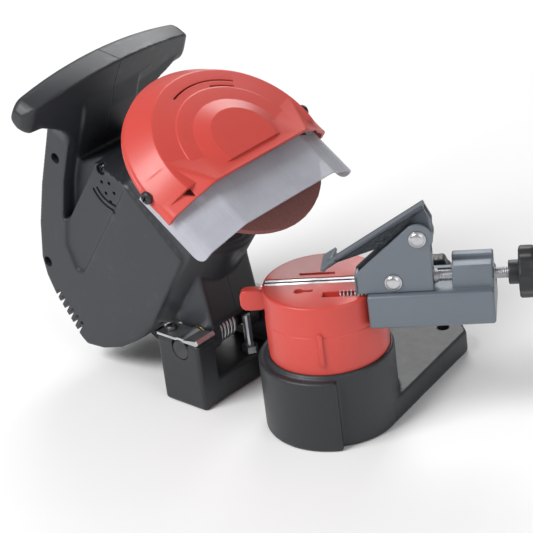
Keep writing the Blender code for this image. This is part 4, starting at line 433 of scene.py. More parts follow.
def baked(thing: bpy.types.Object) -> bpy.types.Object:
    """Applies an object's modifiers."""
    graph = bpy.context.evaluated_depsgraph_get()
    mesh = bpy.data.meshes.new_from_object(thing.evaluated_get(graph))
    thing.modifiers.clear()
    thing.data = mesh
    return thing


class Plane(Enum):
    """The plane that an outline is drawn in, as places of its two values and of its depth."""

    XY = (0, 1, 2)
    XZ = (0, 2, 1)
    YZ = (1, 2, 0)

    def at(self, a: float, b: float, depth: float) -> Point3:
        """A point of the plane."""
        point = [0.0, 0.0, 0.0]
        for place, value in zip(self.value, (a, b, depth)):
            point[place] = value
        return (point[0], point[1], point[2])


def prism(outline: Sequence[Point2], low: float, high: float, plane: Plane = Plane.XY) -> bpy.types.Object:
    """Extrudes an outline.

    Args:
        outline: Its corners.
        low: Where it starts.
        high: Where it ends.
        plane: The plane that it is drawn in.

    Returns:
        The solid.
    """
    bm = bmesh.new()
    ends = [[bm.verts.new(plane.at(a, b, depth)) for a, b in outline] for depth in (low, high)]
    for end in ends:
        bm.faces.new(end)
    for i in range(len(outline)):
        after = (i + 1) % len(outline)
        bm.faces.new((ends[0][i], ends[0][after], ends[1][after], ends[1][i]))
    return made(bm, "solid")


def block(low: Point3, high: Point3) -> bpy.types.Object:
    """A squared solid between two corners."""
    corners = ((low[0], low[1]), (high[0], low[1]), (high[0], high[1]), (low[0], high[1]))
    return prism(corners, low[2], high[2])


def turned(profile: Sequence[Point2], axis: str = "X", steps: int = 64) -> bpy.types.Object:
    """Turns a closed profile about an axis.

    Args:
        profile: Points of radius and station.
        axis: The axis.
        steps: Steps of a full turn.

    Returns:
        The solid.
    """
    bm = bmesh.new()
    rings = []
    for radius, station in profile:
        ring = []
        for i in range(steps if radius > 0 else 1):
            angle = math.tau * i / steps
            a, b = radius * math.cos(angle), radius * math.sin(angle)
            ring.append(bm.verts.new({"X": (station, a, b), "Y": (b, station, a), "Z": (a, b, station)}[axis]))
        rings.append(ring)
    for ring, other in zip(rings, rings[1:] + rings[:1]):
        if len(ring) == 1 and len(other) == 1:
            continue
        for i in range(steps):
            j = (i + 1) % steps
            corners = (ring[i % len(ring)], ring[j % len(ring)], other[j % len(other)], other[i % len(other)])
            bm.faces.new(list(dict.fromkeys(corners)))
    return made(bm, "turned")


def lofted(rings: Sequence[Sequence[Point3]]) -> bpy.types.Object:
    """Skins rings of equal count, with both ends closed."""
    bm = bmesh.new()
    rows = [[bm.verts.new(point) for point in ring] for ring in rings]
    for first, second in zip(rows, rows[1:]):
        for k in range(len(first)):
            j = (k + 1) % len(first)
            bm.faces.new((first[k], first[j], second[j], second[k]))
    bm.faces.new(rows[0])
    bm.faces.new(rows[-1])
    return made(bm, "lofted")


def combined(thing: bpy.types.Object, operation: str, *tools: bpy.types.Object,
             solver: str = "EXACT") -> bpy.types.Object:
    """Joins, cuts or trims a solid with others, which are used up.

    Args:
        thing: The solid.
        operation: UNION, DIFFERENCE or INTERSECT.
        tools: The others.
        solver: How the cut is worked out.

    Returns:
        The solid.
    """
    for tool in tools:
        modifier = thing.modifiers.new("boolean", "BOOLEAN")
        modifier.operation = operation
        modifier.solver = solver
        modifier.object = tool
        baked(thing)
        bpy.data.objects.remove(tool, do_unlink=True)
    return thing


def softened(thing: bpy.types.Object, width: float, segments: int = 3, angle: float = SHARP) -> bpy.types.Object:
    """Rounds a solid's sharp edges with real faces."""
    modifier = thing.modifiers.new("soften", "BEVEL")
    modifier.width = width
    modifier.segments = segments
    modifier.limit_method = "ANGLE"
    modifier.angle_limit = angle
    modifier.harden_normals = False
    return baked(thing)


def shifted(thing: bpy.types.Object, offset: Sequence[float]) -> bpy.types.Object:
    """Moves a solid's mesh."""
    thing.data.transform(Matrix.Translation(Vector(offset)))
    return thing


def spun(thing: bpy.types.Object, angle: float, axis: str) -> bpy.types.Object:
    """Turns a solid's mesh about an axis."""
    thing.data.transform(Matrix.Rotation(angle, 4, axis))
    return thing


def arc(centre: Point2, radius: float, start: float, end: float, steps: int) -> list[Point2]:
    """Points along an arc, both ends included."""
    angles = [start + (end - start) * i / steps for i in range(steps + 1)]
    return [(centre[0] + radius * math.cos(a), centre[1] + radius * math.sin(a)) for a in angles]


def corner_points(before: Sequence[float], here: Sequence[float], after: Sequence[float], radius: float,
                  steps: int) -> list[Point2]:
    """Points of one rounded corner.

    Args:
        before: The corner before it.
        here: The corner.
        after: The corner after it.
        radius: Radius of the rounding.
        steps: Steps of the rounding.

    Returns:
        The points, from the side of the corner before.
    """
    corner = Vector(here)
    back, on = Vector(before) - corner, Vector(after) - corner
    reach = min(radius / math.tan(back.angle(on) / 2), back.length / 2, on.length / 2)
    first, last = corner + back.normalized() * reach, corner + on.normalized() * reach
    points = []
    for k in range(steps + 1):
        share = k / steps
        point = first * (1 - share) ** 2 + corner * 2 * share * (1 - share) + last * share ** 2
        points.append((point.x, point.y))
    return points


def rounded(outline: Sequence[Point2], radius: float, steps: int = 6) -> list[Point2]:
    """A closed outline with each corner rounded."""
    points: list[Point2] = []
    for i, here in enumerate(outline):
        points += corner_points(outline[i - 1], here, outline[(i + 1) % len(outline)], radius, steps)
    return points


def eased(path: Sequence[Point2], radius: float, steps: int = 4) -> list[Point2]:
    """An open path with its inner corners rounded and its ends kept."""
    points = [path[0]]
    for before, here, after in zip(path, path[1:], path[2:]):
        points += corner_points(before, here, after, radius, steps)
    return points + [path[-1]]


def bar(radius: float, low: float, high: float, axis: str = "X", steps: int = 64) -> bpy.types.Object:
    """A round bar about an axis, between two stations."""
    return turned([(0.0, low), (radius, low), (radius, high), (0.0, high)], axis, steps)


def soft_bar(radius: float, low: float, high: float, edge: float, axis: str, steps: int) -> bpy.types.Object:
    """A round bar with rounded ends."""
    return turned(eased([(0.0, low), (radius, low), (radius, high), (0.0, high)], edge), axis, steps)


def lobed(radius: float, share: float, lobes: int, steps: int) -> list[Point2]:
    """Outline of a grip with soft lobes."""
    points = []
    for i in range(steps):
        angle = math.tau * i / steps
        reach = radius * (1 - share * (1 - math.cos(lobes * angle)) / 2)
        points.append((reach * math.cos(angle), reach * math.sin(angle)))
    return points


def wire(points: Sequence[Point3], radius: float) -> bpy.types.Object:
    """A smooth round wire through points, as a curve."""
    curve = bpy.data.curves.new("wire", "CURVE")
    curve.dimensions = "3D"
    curve.bevel_depth = radius
    curve.bevel_resolution = 3
    curve.use_fill_caps = True
    spline = curve.splines.new("POLY")
    spline.points.add(len(points) - 1)
    for target, point in zip(spline.points, points):
        target.co = (*point, 1.0)
    spline.use_smooth = True
    thing = bpy.data.objects.new("wire", curve)
    bpy.context.scene.collection.objects.link(thing)
    return thing


@dataclass(frozen=True)
class Seat:
    """A body of the model, and the local frame that its pieces are drawn in."""

    body: str
    matrix: Matrix

    def put(self, thing: bpy.types.Object, name: str, look: Finish, *nodes: str) -> bpy.types.Object:
        """Finishes a piece and puts it on the body.

        Args:
            thing: The piece, drawn in the local frame.
            name: Its name.
            look: Its finish.
            nodes: The nodes that it stands for.

        Returns:
            The piece.
        """
        thing.name = name
        thing.data.name = name
        if isinstance(thing.data, bpy.types.Mesh):
            thing.data.transform(self.matrix)
            thing.data.shade_smooth()
            thing.data.set_sharp_from_angle(angle=SHARP)
        else:
            for point in thing.data.splines[0].points:
                point.co = (*(self.matrix @ Vector(point.co[:3])), 1.0)
        thing.data.materials.clear()
        thing.data.materials.append(finish(look))
        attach(thing, self.body)
        if nodes:
            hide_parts(*nodes)
        return thing


HEAD_MATRIX = Matrix.Translation((0.024579, 0.0, 0.142686)) @ Matrix.Rotation(-HEAD_TILT, 4, "Y")
VISE_MATRIX = Matrix.Translation((0.079, 0.0, 0.0)) @ Matrix.Rotation(VISE_TURN, 4, "Z")
BASE = Seat("base", Matrix.Identity(4))
HEAD = Seat("head", HEAD_MATRIX)
SPINDLE = Seat("spindle", HEAD_MATRIX)
TABLE = Seat("table", VISE_MATRIX)
CARRIAGE = Seat("stop_carriage", VISE_MATRIX)
ADJUSTER = Seat("adjuster", VISE_MATRIX)
JAW_CLAMP = Seat("jaw_clamp", VISE_MATRIX)
KNOB = Seat("knob", VISE_MATRIX)
LEVER = Seat("lever", VISE_MATRIX)


class PackedNodes:
    """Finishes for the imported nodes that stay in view."""

    def build(self) -> None:
        """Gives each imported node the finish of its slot."""
        slots = {part["node"]: part["material_slot"] for part in frame["record"]["subparts"]}
        for name, thing in frame["nodes"].items():
            material = finish(Finish[slots[name].upper()])
            if not thing.material_slots:
                thing.data.materials.append(material)
            for place in thing.material_slots:
                place.material = material


def bent(inner: float, outer: float, middle: float, half: float, low: float, high: float) -> bpy.types.Object:
    """Part of a tube about the X axis, either side of a middle angle."""
    outline = arc((0, 0), outer, middle - half, middle + half, 20)
    outline += arc((0, 0), inner, middle + half, middle - half, 20)
    return prism(outline, low, high, Plane.YZ)


def fused(things: Sequence[bpy.types.Object], voxel: float, smoothing: int) -> bpy.types.Object:
    """Melts overlapping solids into one skin with soft inner corners.

    Args:
        things: The solids, which are used up.
        voxel: Fineness of the skin.
        smoothing: How often it is smoothed.

    Returns:
        The skin.
    """
    bm = bmesh.new()
    for thing in things:
        bm.from_mesh(thing.data)
        bpy.data.objects.remove(thing, do_unlink=True)
    skin = made(bm, "skin")
    melt = skin.modifiers.new("melt", "REMESH")
    melt.mode = "VOXEL"
    melt.voxel_size = voxel
    smooth = skin.modifiers.new("smooth", "SMOOTH")
    smooth.factor = 0.5
    smooth.iterations = smoothing
    return baked(skin)


def trimmed(thing: bpy.types.Object, operation: str, *tools: bpy.types.Object) -> bpy.types.Object:
    """Joins or cuts a fine closed skin, with the quick solver for such skins."""
    return combined(thing, operation, *tools, solver="MANIFOLD")


def cross_head(radius: float, rise: float, length: float, shank: float, axis: str,
               arm: float) -> bpy.types.Object:
    """A pan head screw with a cross recess, its head standing on station zero.

    Args:
        radius: Radius of the head.
        rise: Height of the head.
        length: Length of the shank.
        shank: Radius of the shank.
        axis: Its axis.
        arm: Length of a recess arm.

    Returns:
        The screw.
    """
    side = eased([(radius, 0.0), (radius, rise * 0.55), (radius * 0.75, rise * 0.92), (0.0, rise)], rise * 0.5)
    screw = turned([(0.0, -length), (shank, -length), (shank, 0.0)] + side, "Z", 24)
    half = arm * 0.28
    for a, b in ((arm, half), (half, arm)):
        combined(screw, "DIFFERENCE", block((-a, -b, rise * 0.45), (a, b, rise * 2)))
    if axis == "X":
        spun(screw, math.pi / 2, "Y")
    elif axis == "-Y":
        spun(screw, math.pi / 2, "X")
    elif axis == "Y":
        spun(screw, -math.pi / 2, "X")
    return screw


@dataclass
class Guard:
    """The red wheel guard: a stepped dome with a rim bead and two vents, over a flared hood."""

    radius: float = 0.061
    rim: float = 0.001
    face_radius: float = 0.050
    face: float = 0.0135
    step_radius: float = 0.0365
    step: float = 0.0004
    ring_radius: float = 0.0277
    ring: float = 0.0153
    cap_radius: float = 0.019
    cap: float = 0.019
    back: float = 0.004
    wall: float = 0.0022
    dome_bottom: float = -0.008
    hood_top: float = 0.010
    hood_bottom: float = -0.014
    hood_front: float = 0.019
    hood_half: float = 0.036
    hood_side: float = 0.002
    bend: float = 0.006
    bead: float = 0.0007
    vent: float = 0.0010
    vents: tuple[tuple[float, float, float], ...] = ((0.042, 52.0, 110.0), (0.038, 52.0, 74.0))
    overrun: float = 0.002

    def dome(self, shrink: float, back: float, fine: bool) -> bpy.types.Object:
        """The dome, drawn in by a wall.

        Args:
            shrink: The wall.
            back: How far it reaches back.
            fine: Whether it has its rim bead and rounded steps.

        Returns:
            The dome.
        """
        outer = self.radius - shrink
        path = [(outer, -back), (outer, self.rim - shrink / 3),
                (self.face_radius - shrink / 2, self.face - shrink)]
        if fine:
            groove = -self.back * 0.45
            path[1:1] = [(outer, groove - self.bead), (outer - self.bead, groove),
                         (outer - self.bead, groove * 0.2), (outer - self.bead * 0.3, self.rim * 0.4)]
            slope = (self.ring - self.face) / (self.face_radius - self.ring_radius)
            level = self.face + slope * (self.face_radius - self.step_radius)
            path += [(self.step_radius + self.step, level - self.step / 3), (self.step_radius, level + self.step)]
        path += [(self.ring_radius - shrink / 4, self.ring - shrink + (self.step / 2 if fine else 0.0)),
                 (self.cap_radius - shrink / 4, self.cap - shrink), (0.0, self.cap - shrink)]
        soft = eased(path, 0.0016, 4) if fine else path
        return turned([(0.0, -back)] + soft, "X", 160)

    def hood(self, shrink: float, back: float, drop: float) -> bpy.types.Object:
        """The flared hood with its bent corners, drawn in by a wall."""
        top_side = math.sqrt(self.radius ** 2 - self.hood_top ** 2) - shrink
        face_side = math.sqrt(self.face_radius ** 2 - self.hood_top ** 2) - shrink
        side, half = self.radius - shrink, self.hood_half - shrink / 3
        rings = []
        for level, wide, edge, mid, front in (
                (self.hood_top, top_side, self.rim, face_side, self.face),
                (self.hood_bottom - drop, side, self.hood_side, half, self.hood_front)):
            edge, front = edge - shrink / 3, front - shrink
            path = [(-wide, -back), (-wide, edge), (-mid, front), (mid, front), (wide, edge), (wide, -back)]
            rings.append([(n, u, level) for u, n in eased(path, self.bend, 6)])
        return lofted(rings)

    def build(self) -> None:
        """Moulds the guard and its side screws."""
        reach = self.radius + self.overrun
        shell = self.dome(0.0, self.back, True)
        combined(shell, "DIFFERENCE", block((-reach, -reach, -reach), (reach, reach, self.dome_bottom)))
        combined(shell, "UNION", self.hood(0.0, self.back, 0.0))
        inner_back = self.back + self.overrun
        combined(shell, "DIFFERENCE", self.dome(self.wall, inner_back, False),
                 self.hood(self.wall, inner_back, self.overrun))
        for radius, start, end in self.vents:
            middle, half = math.radians((start + end) / 2), math.radians((end - start) / 2)
            slot = bent(radius - self.vent / 2, radius + self.vent / 2, middle, half, self.rim, self.cap)
            combined(shell, "DIFFERENCE", slot)
        HEAD.put(shell, "guard_moulding", Finish.RED_PLASTIC, "wheel_guard")
        for label, side, axis in (("near", -1, "-Y"), ("far", 1, "Y")):
            screw = cross_head(0.0036, 0.0024, 0.0075, 0.0017, axis, 0.0019)
            shifted(screw, (-0.0008, side * (self.radius + 0.0003), 0.0042))
            HEAD.put(screw, f"guard_side_screw_{label}", Finish.BLACK_PLASTIC, f"shield_screw_{label}")


@dataclass
class Shield:
    """The clear sheet inside the hood, bent along soft folds."""

    guard: Guard = field(default_factory=Guard)
    sheet: float = 0.0012
    gap: float = GAP
    top: float = 0.0098
    bottom: float = -0.040
    rear: float = 0.011
    corner: float = 0.007
    screw: float = 0.0020

    def section(self, inward: float) -> list[Point2]:
        """The bent section, drawn in by a distance."""
        wall = self.guard.wall + self.gap + inward
        side = math.sqrt(self.guard.radius ** 2 - self.guard.hood_top ** 2) - self.guard.wall - self.gap - inward
        half = self.guard.hood_half - wall / 3
        front = self.guard.face - self.guard.wall - inward
        path = [(-side, -self.rear), (-side, -wall / 3), (-half, front), (half, front), (side, -wall / 3),
                (side, -self.rear)]
        return eased(path, self.guard.bend, 8)

    def build(self) -> None:
        """Bends the sheet, rounds its lower corners and cuts it away in front, above the hood's lip."""
        outline = [(n, u) for u, n in self.section(0.0) + self.section(self.sheet)[::-1]]
        sheet = prism(outline, self.bottom, self.top)
        reach = self.guard.radius + self.guard.overrun
        over, corner = self.guard.overrun, self.corner
        tip = [(-self.rear - over, self.bottom - over), (-self.rear - over, self.bottom + corner)]
        tip += arc((-self.rear + corner, self.bottom + corner), corner, math.pi, math.pi * 1.5, 10)
        tip += [(-self.rear + corner, self.bottom - over)]
        combined(sheet, "DIFFERENCE", prism(tip, -reach, reach, Plane.XZ))
        edge = self.guard.hood_bottom + self.guard.wall
        combined(sheet, "DIFFERENCE", block((0.0, -reach, edge), (self.guard.cap, reach, self.top + over)))
        for side in (-1, 1):
            low, high = sorted((side * self.guard.radius / 2, side * reach))
            hole = bar(self.screw, low, high, "Y", 24)
            combined(sheet, "DIFFERENCE", shifted(hole, (-0.0008, 0.0, 0.0042)))
        HEAD.put(sheet, "clear_sheet", Finish.CLEAR_SHIELD, "clear_shield")


@dataclass
class Wheel:
    """The bonded grinding wheel, with a slightly rounded and chipped rim."""

    radius: float = 0.050
    width: float = 0.0032
    bore: float = 0.0053
    edge: float = 0.0007
    ripple: float = 0.00012

    def build(self) -> None:
        """Turns the wheel and roughens its rim."""
        half = self.width / 2
        section = [(self.bore, -half), (self.radius, -half), (self.radius, half), (self.bore, half)]
        path = eased(section, self.edge, 4)
        wheel = turned(path, "X", 192)
        for vertex in wheel.data.vertices:
            reach = math.hypot(vertex.co.y, vertex.co.z)
            if reach > self.radius - self.edge / 2:
                angle = math.atan2(vertex.co.z, vertex.co.y)
                wave = math.sin(angle * 37) + math.sin(angle * 61 + 1.3) + math.sin(angle * 89 + 0.7)
                shrink = 1 - self.ripple * (1 + wave / 3) / reach
                vertex.co.y *= shrink
                vertex.co.z *= shrink
        SPINDLE.put(wheel, "bonded_wheel", Finish.STONE, "grinding_wheel")


@dataclass
class Housing:
    """The black housing in two halves, with its crosswise grip, leg, vents and screws."""

    length: float = 0.170
    height: float = 0.100
    half: float = 0.030
    wall: float = 0.003
    edge: float = 0.004
    split: float = GAP
    voxel: float = 0.00085
    smoothing: int = 5
    barrel_radius: float = 0.039
    barrel_rise: float = 0.009
    barrel_span: Point2 = (-0.112, -0.041)
    barrel_half: float = 0.0282
    nose_radius: float = 0.026
    nose_front: float = 0.0095
    panel_depth: float = 0.0015
    valley_depth: float = 0.009
    leg_half: float = 0.020
    knuckle: float = 0.0098
    pin: Point2 = (-0.101, -0.043)
    pin_bore: float = 0.00755
    channel_half: float = 0.0122
    channel_radius: float = 0.0125
    grip_half: float = 0.0642
    grip_top: float = -0.010
    grip_thick: Point2 = (0.034, 0.017)
    grip_deep: Point2 = (0.019, 0.012)
    grip_drop: float = 0.009
    grip_lean: float = 0.0045
    grip_front: float = 0.0868
    grip_sweep: float = 0.014
    grip_lift: float = 0.002
    overrun: float = 0.002
    body_shares: tuple[Point2, ...] = (
        (0.318, -0.160), (0.272, 0.338), (0.303, 0.598), (0.431, 0.735), (0.252, 0.800), (0.110, 0.880),
        (0.110, 1.000), (0.235, 1.000), (0.366, 0.947), (0.579, 0.840), (0.729, 0.746), (0.851, 0.641),
        (0.901, 0.558), (0.942, 0.442), (0.996, 0.189), (0.999, 0.122), (0.947, 0.017), (0.872, -0.079),
        (0.772, -0.154), (0.653, -0.190), (0.500, -0.175))
    panel_shares: tuple[Point2, ...] = (
        (0.278, 0.345), (0.309, 0.595), (0.609, 0.603), (0.706, 0.529), (0.763, 0.393), (0.735, 0.345))
    valley_shares: tuple[Point2, ...] = (
        (0.150, 0.900), (0.292, 0.588), (0.590, 0.588), (0.636, 0.606), (0.487, 0.710), (0.252, 0.822))
    leg_shares: tuple[Point2, ...] = (
        (0.340, -0.050), (0.340, -0.200), (0.397, -0.268), (0.508, -0.460), (0.535, -0.470), (0.640, -0.385),
        (0.600, -0.200), (0.560, -0.050))
    screw_shares: tuple[Point2, ...] = ((0.433, 0.821), (0.844, 0.587), (0.314, 0.539))
    slot_shares: tuple[Point2, Point2] = ((0.904, 0.438), (0.933, 0.214))
    slot_count: int = 6
    slot_depth: float = 0.006
    slot_half: float = 0.0011
    dot_shares: tuple[Point2, ...] = (
        (0.330, 0.455), (0.345, 0.400), (0.352, 0.500), (0.375, 0.445), (0.388, 0.395))
    dot_radius: float = 0.0011
    well_radius: float = 0.0032
    well: float = 0.0045
    screw_radius: float = 0.0019
    vent_centre: Point2 = (0.310, 0.440)
    vent_radii: Point2 = (0.0150, 0.0185)
    vent_angles: Point2 = (150.0, 215.0)
    vent_half: float = 0.0008
    motor_room: tuple[Point2, ...] = (
        (0.0, -0.1298), (0.0113, -0.1298), (0.0113, -0.1222), (0.0263, -0.1222), (0.0263, -0.043),
        (0.0113, -0.043), (0.0113, -0.0327), (0.006, -0.0327), (0.006, -0.0075), (0.0, -0.0075))
    spring_reach: Point2 = (0.0038, 0.020)
    spring_top: float = 0.0168
    stem_stations: tuple[tuple[float, float, float, float], ...] = (
        (-0.080, 0.0290, 0.0720, 0.0850), (-0.066, 0.0292, 0.0755, 0.0910), (-0.058, 0.0300, 0.0775, 0.0940),
        (-0.052, 0.0320, 0.0792, 0.0960), (-0.047, 0.0360, 0.0808, 0.0980), (-0.043, 0.0420, 0.0820, 0.0985),
        (-0.039, 0.0500, 0.0832, 0.0985), (-0.034, 0.0560, 0.0845, 0.0980))

    def outline(self, shares: Sequence[Point2]) -> list[Point2]:
        """Points from their shares of the housing's length and height."""
        return [(-a * self.length, b * self.height) for a, b in shares]

    def grip(self) -> bpy.types.Object:
        """The crosswise grip: a sharp front edge, a full round back and blunt ends."""
        rings = []
        steps = 48
        for i in range(steps + 1):
            share = 2 * i / steps - 1
            bend = share * share
            thick = self.grip_thick[0] + (self.grip_thick[1] - self.grip_thick[0]) * bend
            deep = self.grip_deep[0] + (self.grip_deep[1] - self.grip_deep[0]) * bend
            top = self.grip_top - self.grip_sweep * bend
            front = self.grip_front + self.grip_lift * bend
            end = min(1.0, (1 - abs(share)) * 7 + 0.58)
            middle = (top - thick * 0.55, front + deep / 2)
            corners = ((top, front), (top - self.grip_drop * (1 - bend) - 0.001, front + deep),
                       (top - thick * 0.86, front + deep * 0.85), (top - thick, front - self.grip_lean),
                       (top, front))
            shrunk = [(middle[0] + (a - middle[0]) * end, middle[1] + (b - middle[1]) * end) for a, b in corners]
            rings.append([(a, self.grip_half * share, b) for a, b in eased(shrunk, deep * 0.36, 5)[:-1]])
        return lofted(rings)

    def stem(self) -> bpy.types.Object:
        """The stem that widens in a soft curve into the grip."""
        rings = []
        for n, half, low, high in self.stem_stations:
            box = rounded(((-half, low), (half, low), (half, high), (-half, high)), 0.004, 4)
            rings.append([(n, u, t) for u, t in box])
        return lofted(rings)

    def barrel(self) -> bpy.types.Object:
        """The motor barrel, flat on its two sides."""
        low, high = self.barrel_span
        path = eased([(0.0, low), (self.barrel_radius, low), (self.barrel_radius, high), (0.0, high)], self.edge)
        tube = shifted(turned(path, "X", 96), (0.0, 0.0, self.barrel_rise))
        reach = self.barrel_radius + self.barrel_rise + self.overrun
        trim = block((low - self.overrun, -self.barrel_half, -reach),
                     (high + self.overrun, self.barrel_half, reach))
        return combined(tube, "INTERSECT", trim)

    def nose(self) -> bpy.types.Object:
        """The round nose that the guard is fixed to."""
        low = self.barrel_span[1] - self.wall * 2
        path = eased([(0.0, low), (self.nose_radius, low), (self.nose_radius, -self.nose_front),
                      (0.0, -self.nose_front)], 0.001)
        return turned(path, "X", 96)

    def leg(self) -> list[bpy.types.Object]:
        """The leg that stands on the hinge pin, with its knuckle and the ring boss."""
        cheeks = prism(rounded(self.outline(self.leg_shares), 0.004), -self.leg_half, self.leg_half, Plane.XZ)
        softened(cheeks, 0.0015, 2)
        knuckle = soft_bar(self.knuckle, -self.leg_half, self.leg_half, 0.001, "Y", 48)
        return [cheeks, shifted(knuckle, (self.pin[0], 0.0, self.pin[1]))]

    def cavity(self) -> bpy.types.Object:
        """The turned room for motor and bearings."""
        return turned(self.motor_room, "X", 64)

    def hinge_cuts(self) -> list[bpy.types.Object]:
        """The pin bore and the room for the return spring."""
        reach = self.leg_half + self.overrun
        place = (self.pin[0], 0.0, self.pin[1])
        bore = bar(self.pin_bore, -reach, reach, "Y", 48)
        half = self.channel_half
        room = bar(self.channel_radius, -half, half, "Y", 48)
        sine, cosine = math.sin(HEAD_TILT), math.cos(HEAD_TILT)
        up, back = Vector((sine, cosine)), Vector((-cosine, sine))
        corner, top = Vector(self.pin), self.spring_top
        ahead, behind = self.spring_reach
        ends = [corner - back * ahead, corner + back * behind, corner + back * behind + up * top,
                corner + up * top - back * ahead]
        arm_room = prism([(point.x, point.y) for point in ends], -half, half, Plane.XZ)
        return [shifted(bore, place), shifted(room, place), arm_room]

    def whole(self) -> bpy.types.Object:
        """The housing before it is split."""
        body = prism(rounded(self.outline(self.body_shares), 0.003, 3), -self.half, self.half, Plane.XZ)
        softened(body, self.edge, 4, math.radians(50))
        for side in (-1, 1):
            for shares, depth, corner in ((self.panel_shares, self.panel_depth, 0.003),
                                          (self.valley_shares, self.valley_depth, 0.0025)):
                low, high = sorted((side * (self.half - depth), side * (self.half + self.overrun)))
                combined(body, "DIFFERENCE", prism(rounded(self.outline(shares), corner), low, high, Plane.XZ))
        skin = fused([body, self.barrel(), self.nose(), *self.leg(), self.grip(), self.stem()],
                     self.voxel, self.smoothing)
        return trimmed(skin, "DIFFERENCE", self.cavity(), *self.hinge_cuts())

    def near_details(self, skin: bpy.types.Object) -> None:
        """Cuts the vents, dots and screw wells of the near side."""
        outer = -self.half - self.overrun
        cuts = []
        for x, z in self.outline(self.screw_shares):
            cuts.append(shifted(self.peg(self.well_radius, outer, -self.half + self.well), (x, 0.0, z)))
            cuts.append(shifted(self.peg(self.screw_radius, outer, -self.split), (x, 0.0, z)))
        for x, z in self.outline(self.dot_shares):
            cuts.append(shifted(self.peg(self.dot_radius, outer, -self.half + self.well), (x, 0.0, z)))
        for radius in self.vent_radii:
            start, end = (math.radians(angle) for angle in self.vent_angles)
            path = arc((0.0, 0.0), radius + self.vent_half, start, end, 12)
            path += arc((0.0, 0.0), radius - self.vent_half, end, start, 12)
            slot = prism(path, outer, -self.half + self.slot_depth, Plane.XZ)
            centre = self.outline((self.vent_centre,))[0]
            cuts.append(shifted(slot, (centre[0], 0.0, centre[1])))
        trimmed(skin, "DIFFERENCE", *cuts)

    def peg(self, radius: float, low: float, high: float) -> bpy.types.Object:
        """A round bar along Y, as a cutter."""
        return bar(radius, low, high, "Y", 24)

    def slots(self, side: int) -> list[bpy.types.Object]:
        """The air slots round the rear end, on one side."""
        first, last = self.outline(self.slot_shares)
        cuts = []
        for i in range(self.slot_count):
            share = i / (self.slot_count - 1)
            x, z = (first[k] + (last[k] - first[k]) * share for k in (0, 1))
            near, far = sorted((side * (self.half - self.slot_depth), side * (self.half + self.overrun)))
            end, high, low = x - self.length, z + self.slot_half, z - self.slot_half
            path = rounded(((end, low), (x, low), (x, high), (end, high)), 0.001, 4)
            cuts.append(prism(path, near, far, Plane.XZ))
        return cuts

    def build(self) -> None:
        """Moulds both halves and drives the screws."""
        whole = self.whole()
        reach = self.length * 2
        for label, side in (("near", -1), ("far", 1)):
            skin = bpy.data.objects.new("skin", whole.data.copy())
            bpy.context.scene.collection.objects.link(skin)
            low, high = sorted((side * self.split / 2, side * reach))
            trimmed(skin, "INTERSECT", block((-reach, low, -reach), (reach, high, reach)))
            trimmed(skin, "DIFFERENCE", *self.slots(side))
            gland = bar(0.0053, -0.03, 0.008, "Z", 32)
            trimmed(skin, "DIFFERENCE", shifted(gland, (-0.150, 0.0, 0.0)))
            if side < 0:
                self.near_details(skin)
            else:
                opening = block((-0.1545, 0.0250, 0.0162), (-0.1415, self.half + self.overrun, 0.0358))
                trimmed(skin, "DIFFERENCE", opening)
            HEAD.put(skin, f"housing_moulding_{label}", Finish.BLACK_HOUSING, f"housing_{label}")
        bpy.data.objects.remove(whole, do_unlink=True)
        for number, (x, z) in enumerate(self.outline(self.screw_shares), 1):
            screw = cross_head(0.0029, 0.0016, 0.016, 0.0016, "-Y", 0.0016)
            shifted(screw, (x, -self.half + 0.0042, z))
            HEAD.put(screw, f"housing_cross_screw_{number}", Finish.DARK_STEEL, f"housing_screw_{number}")


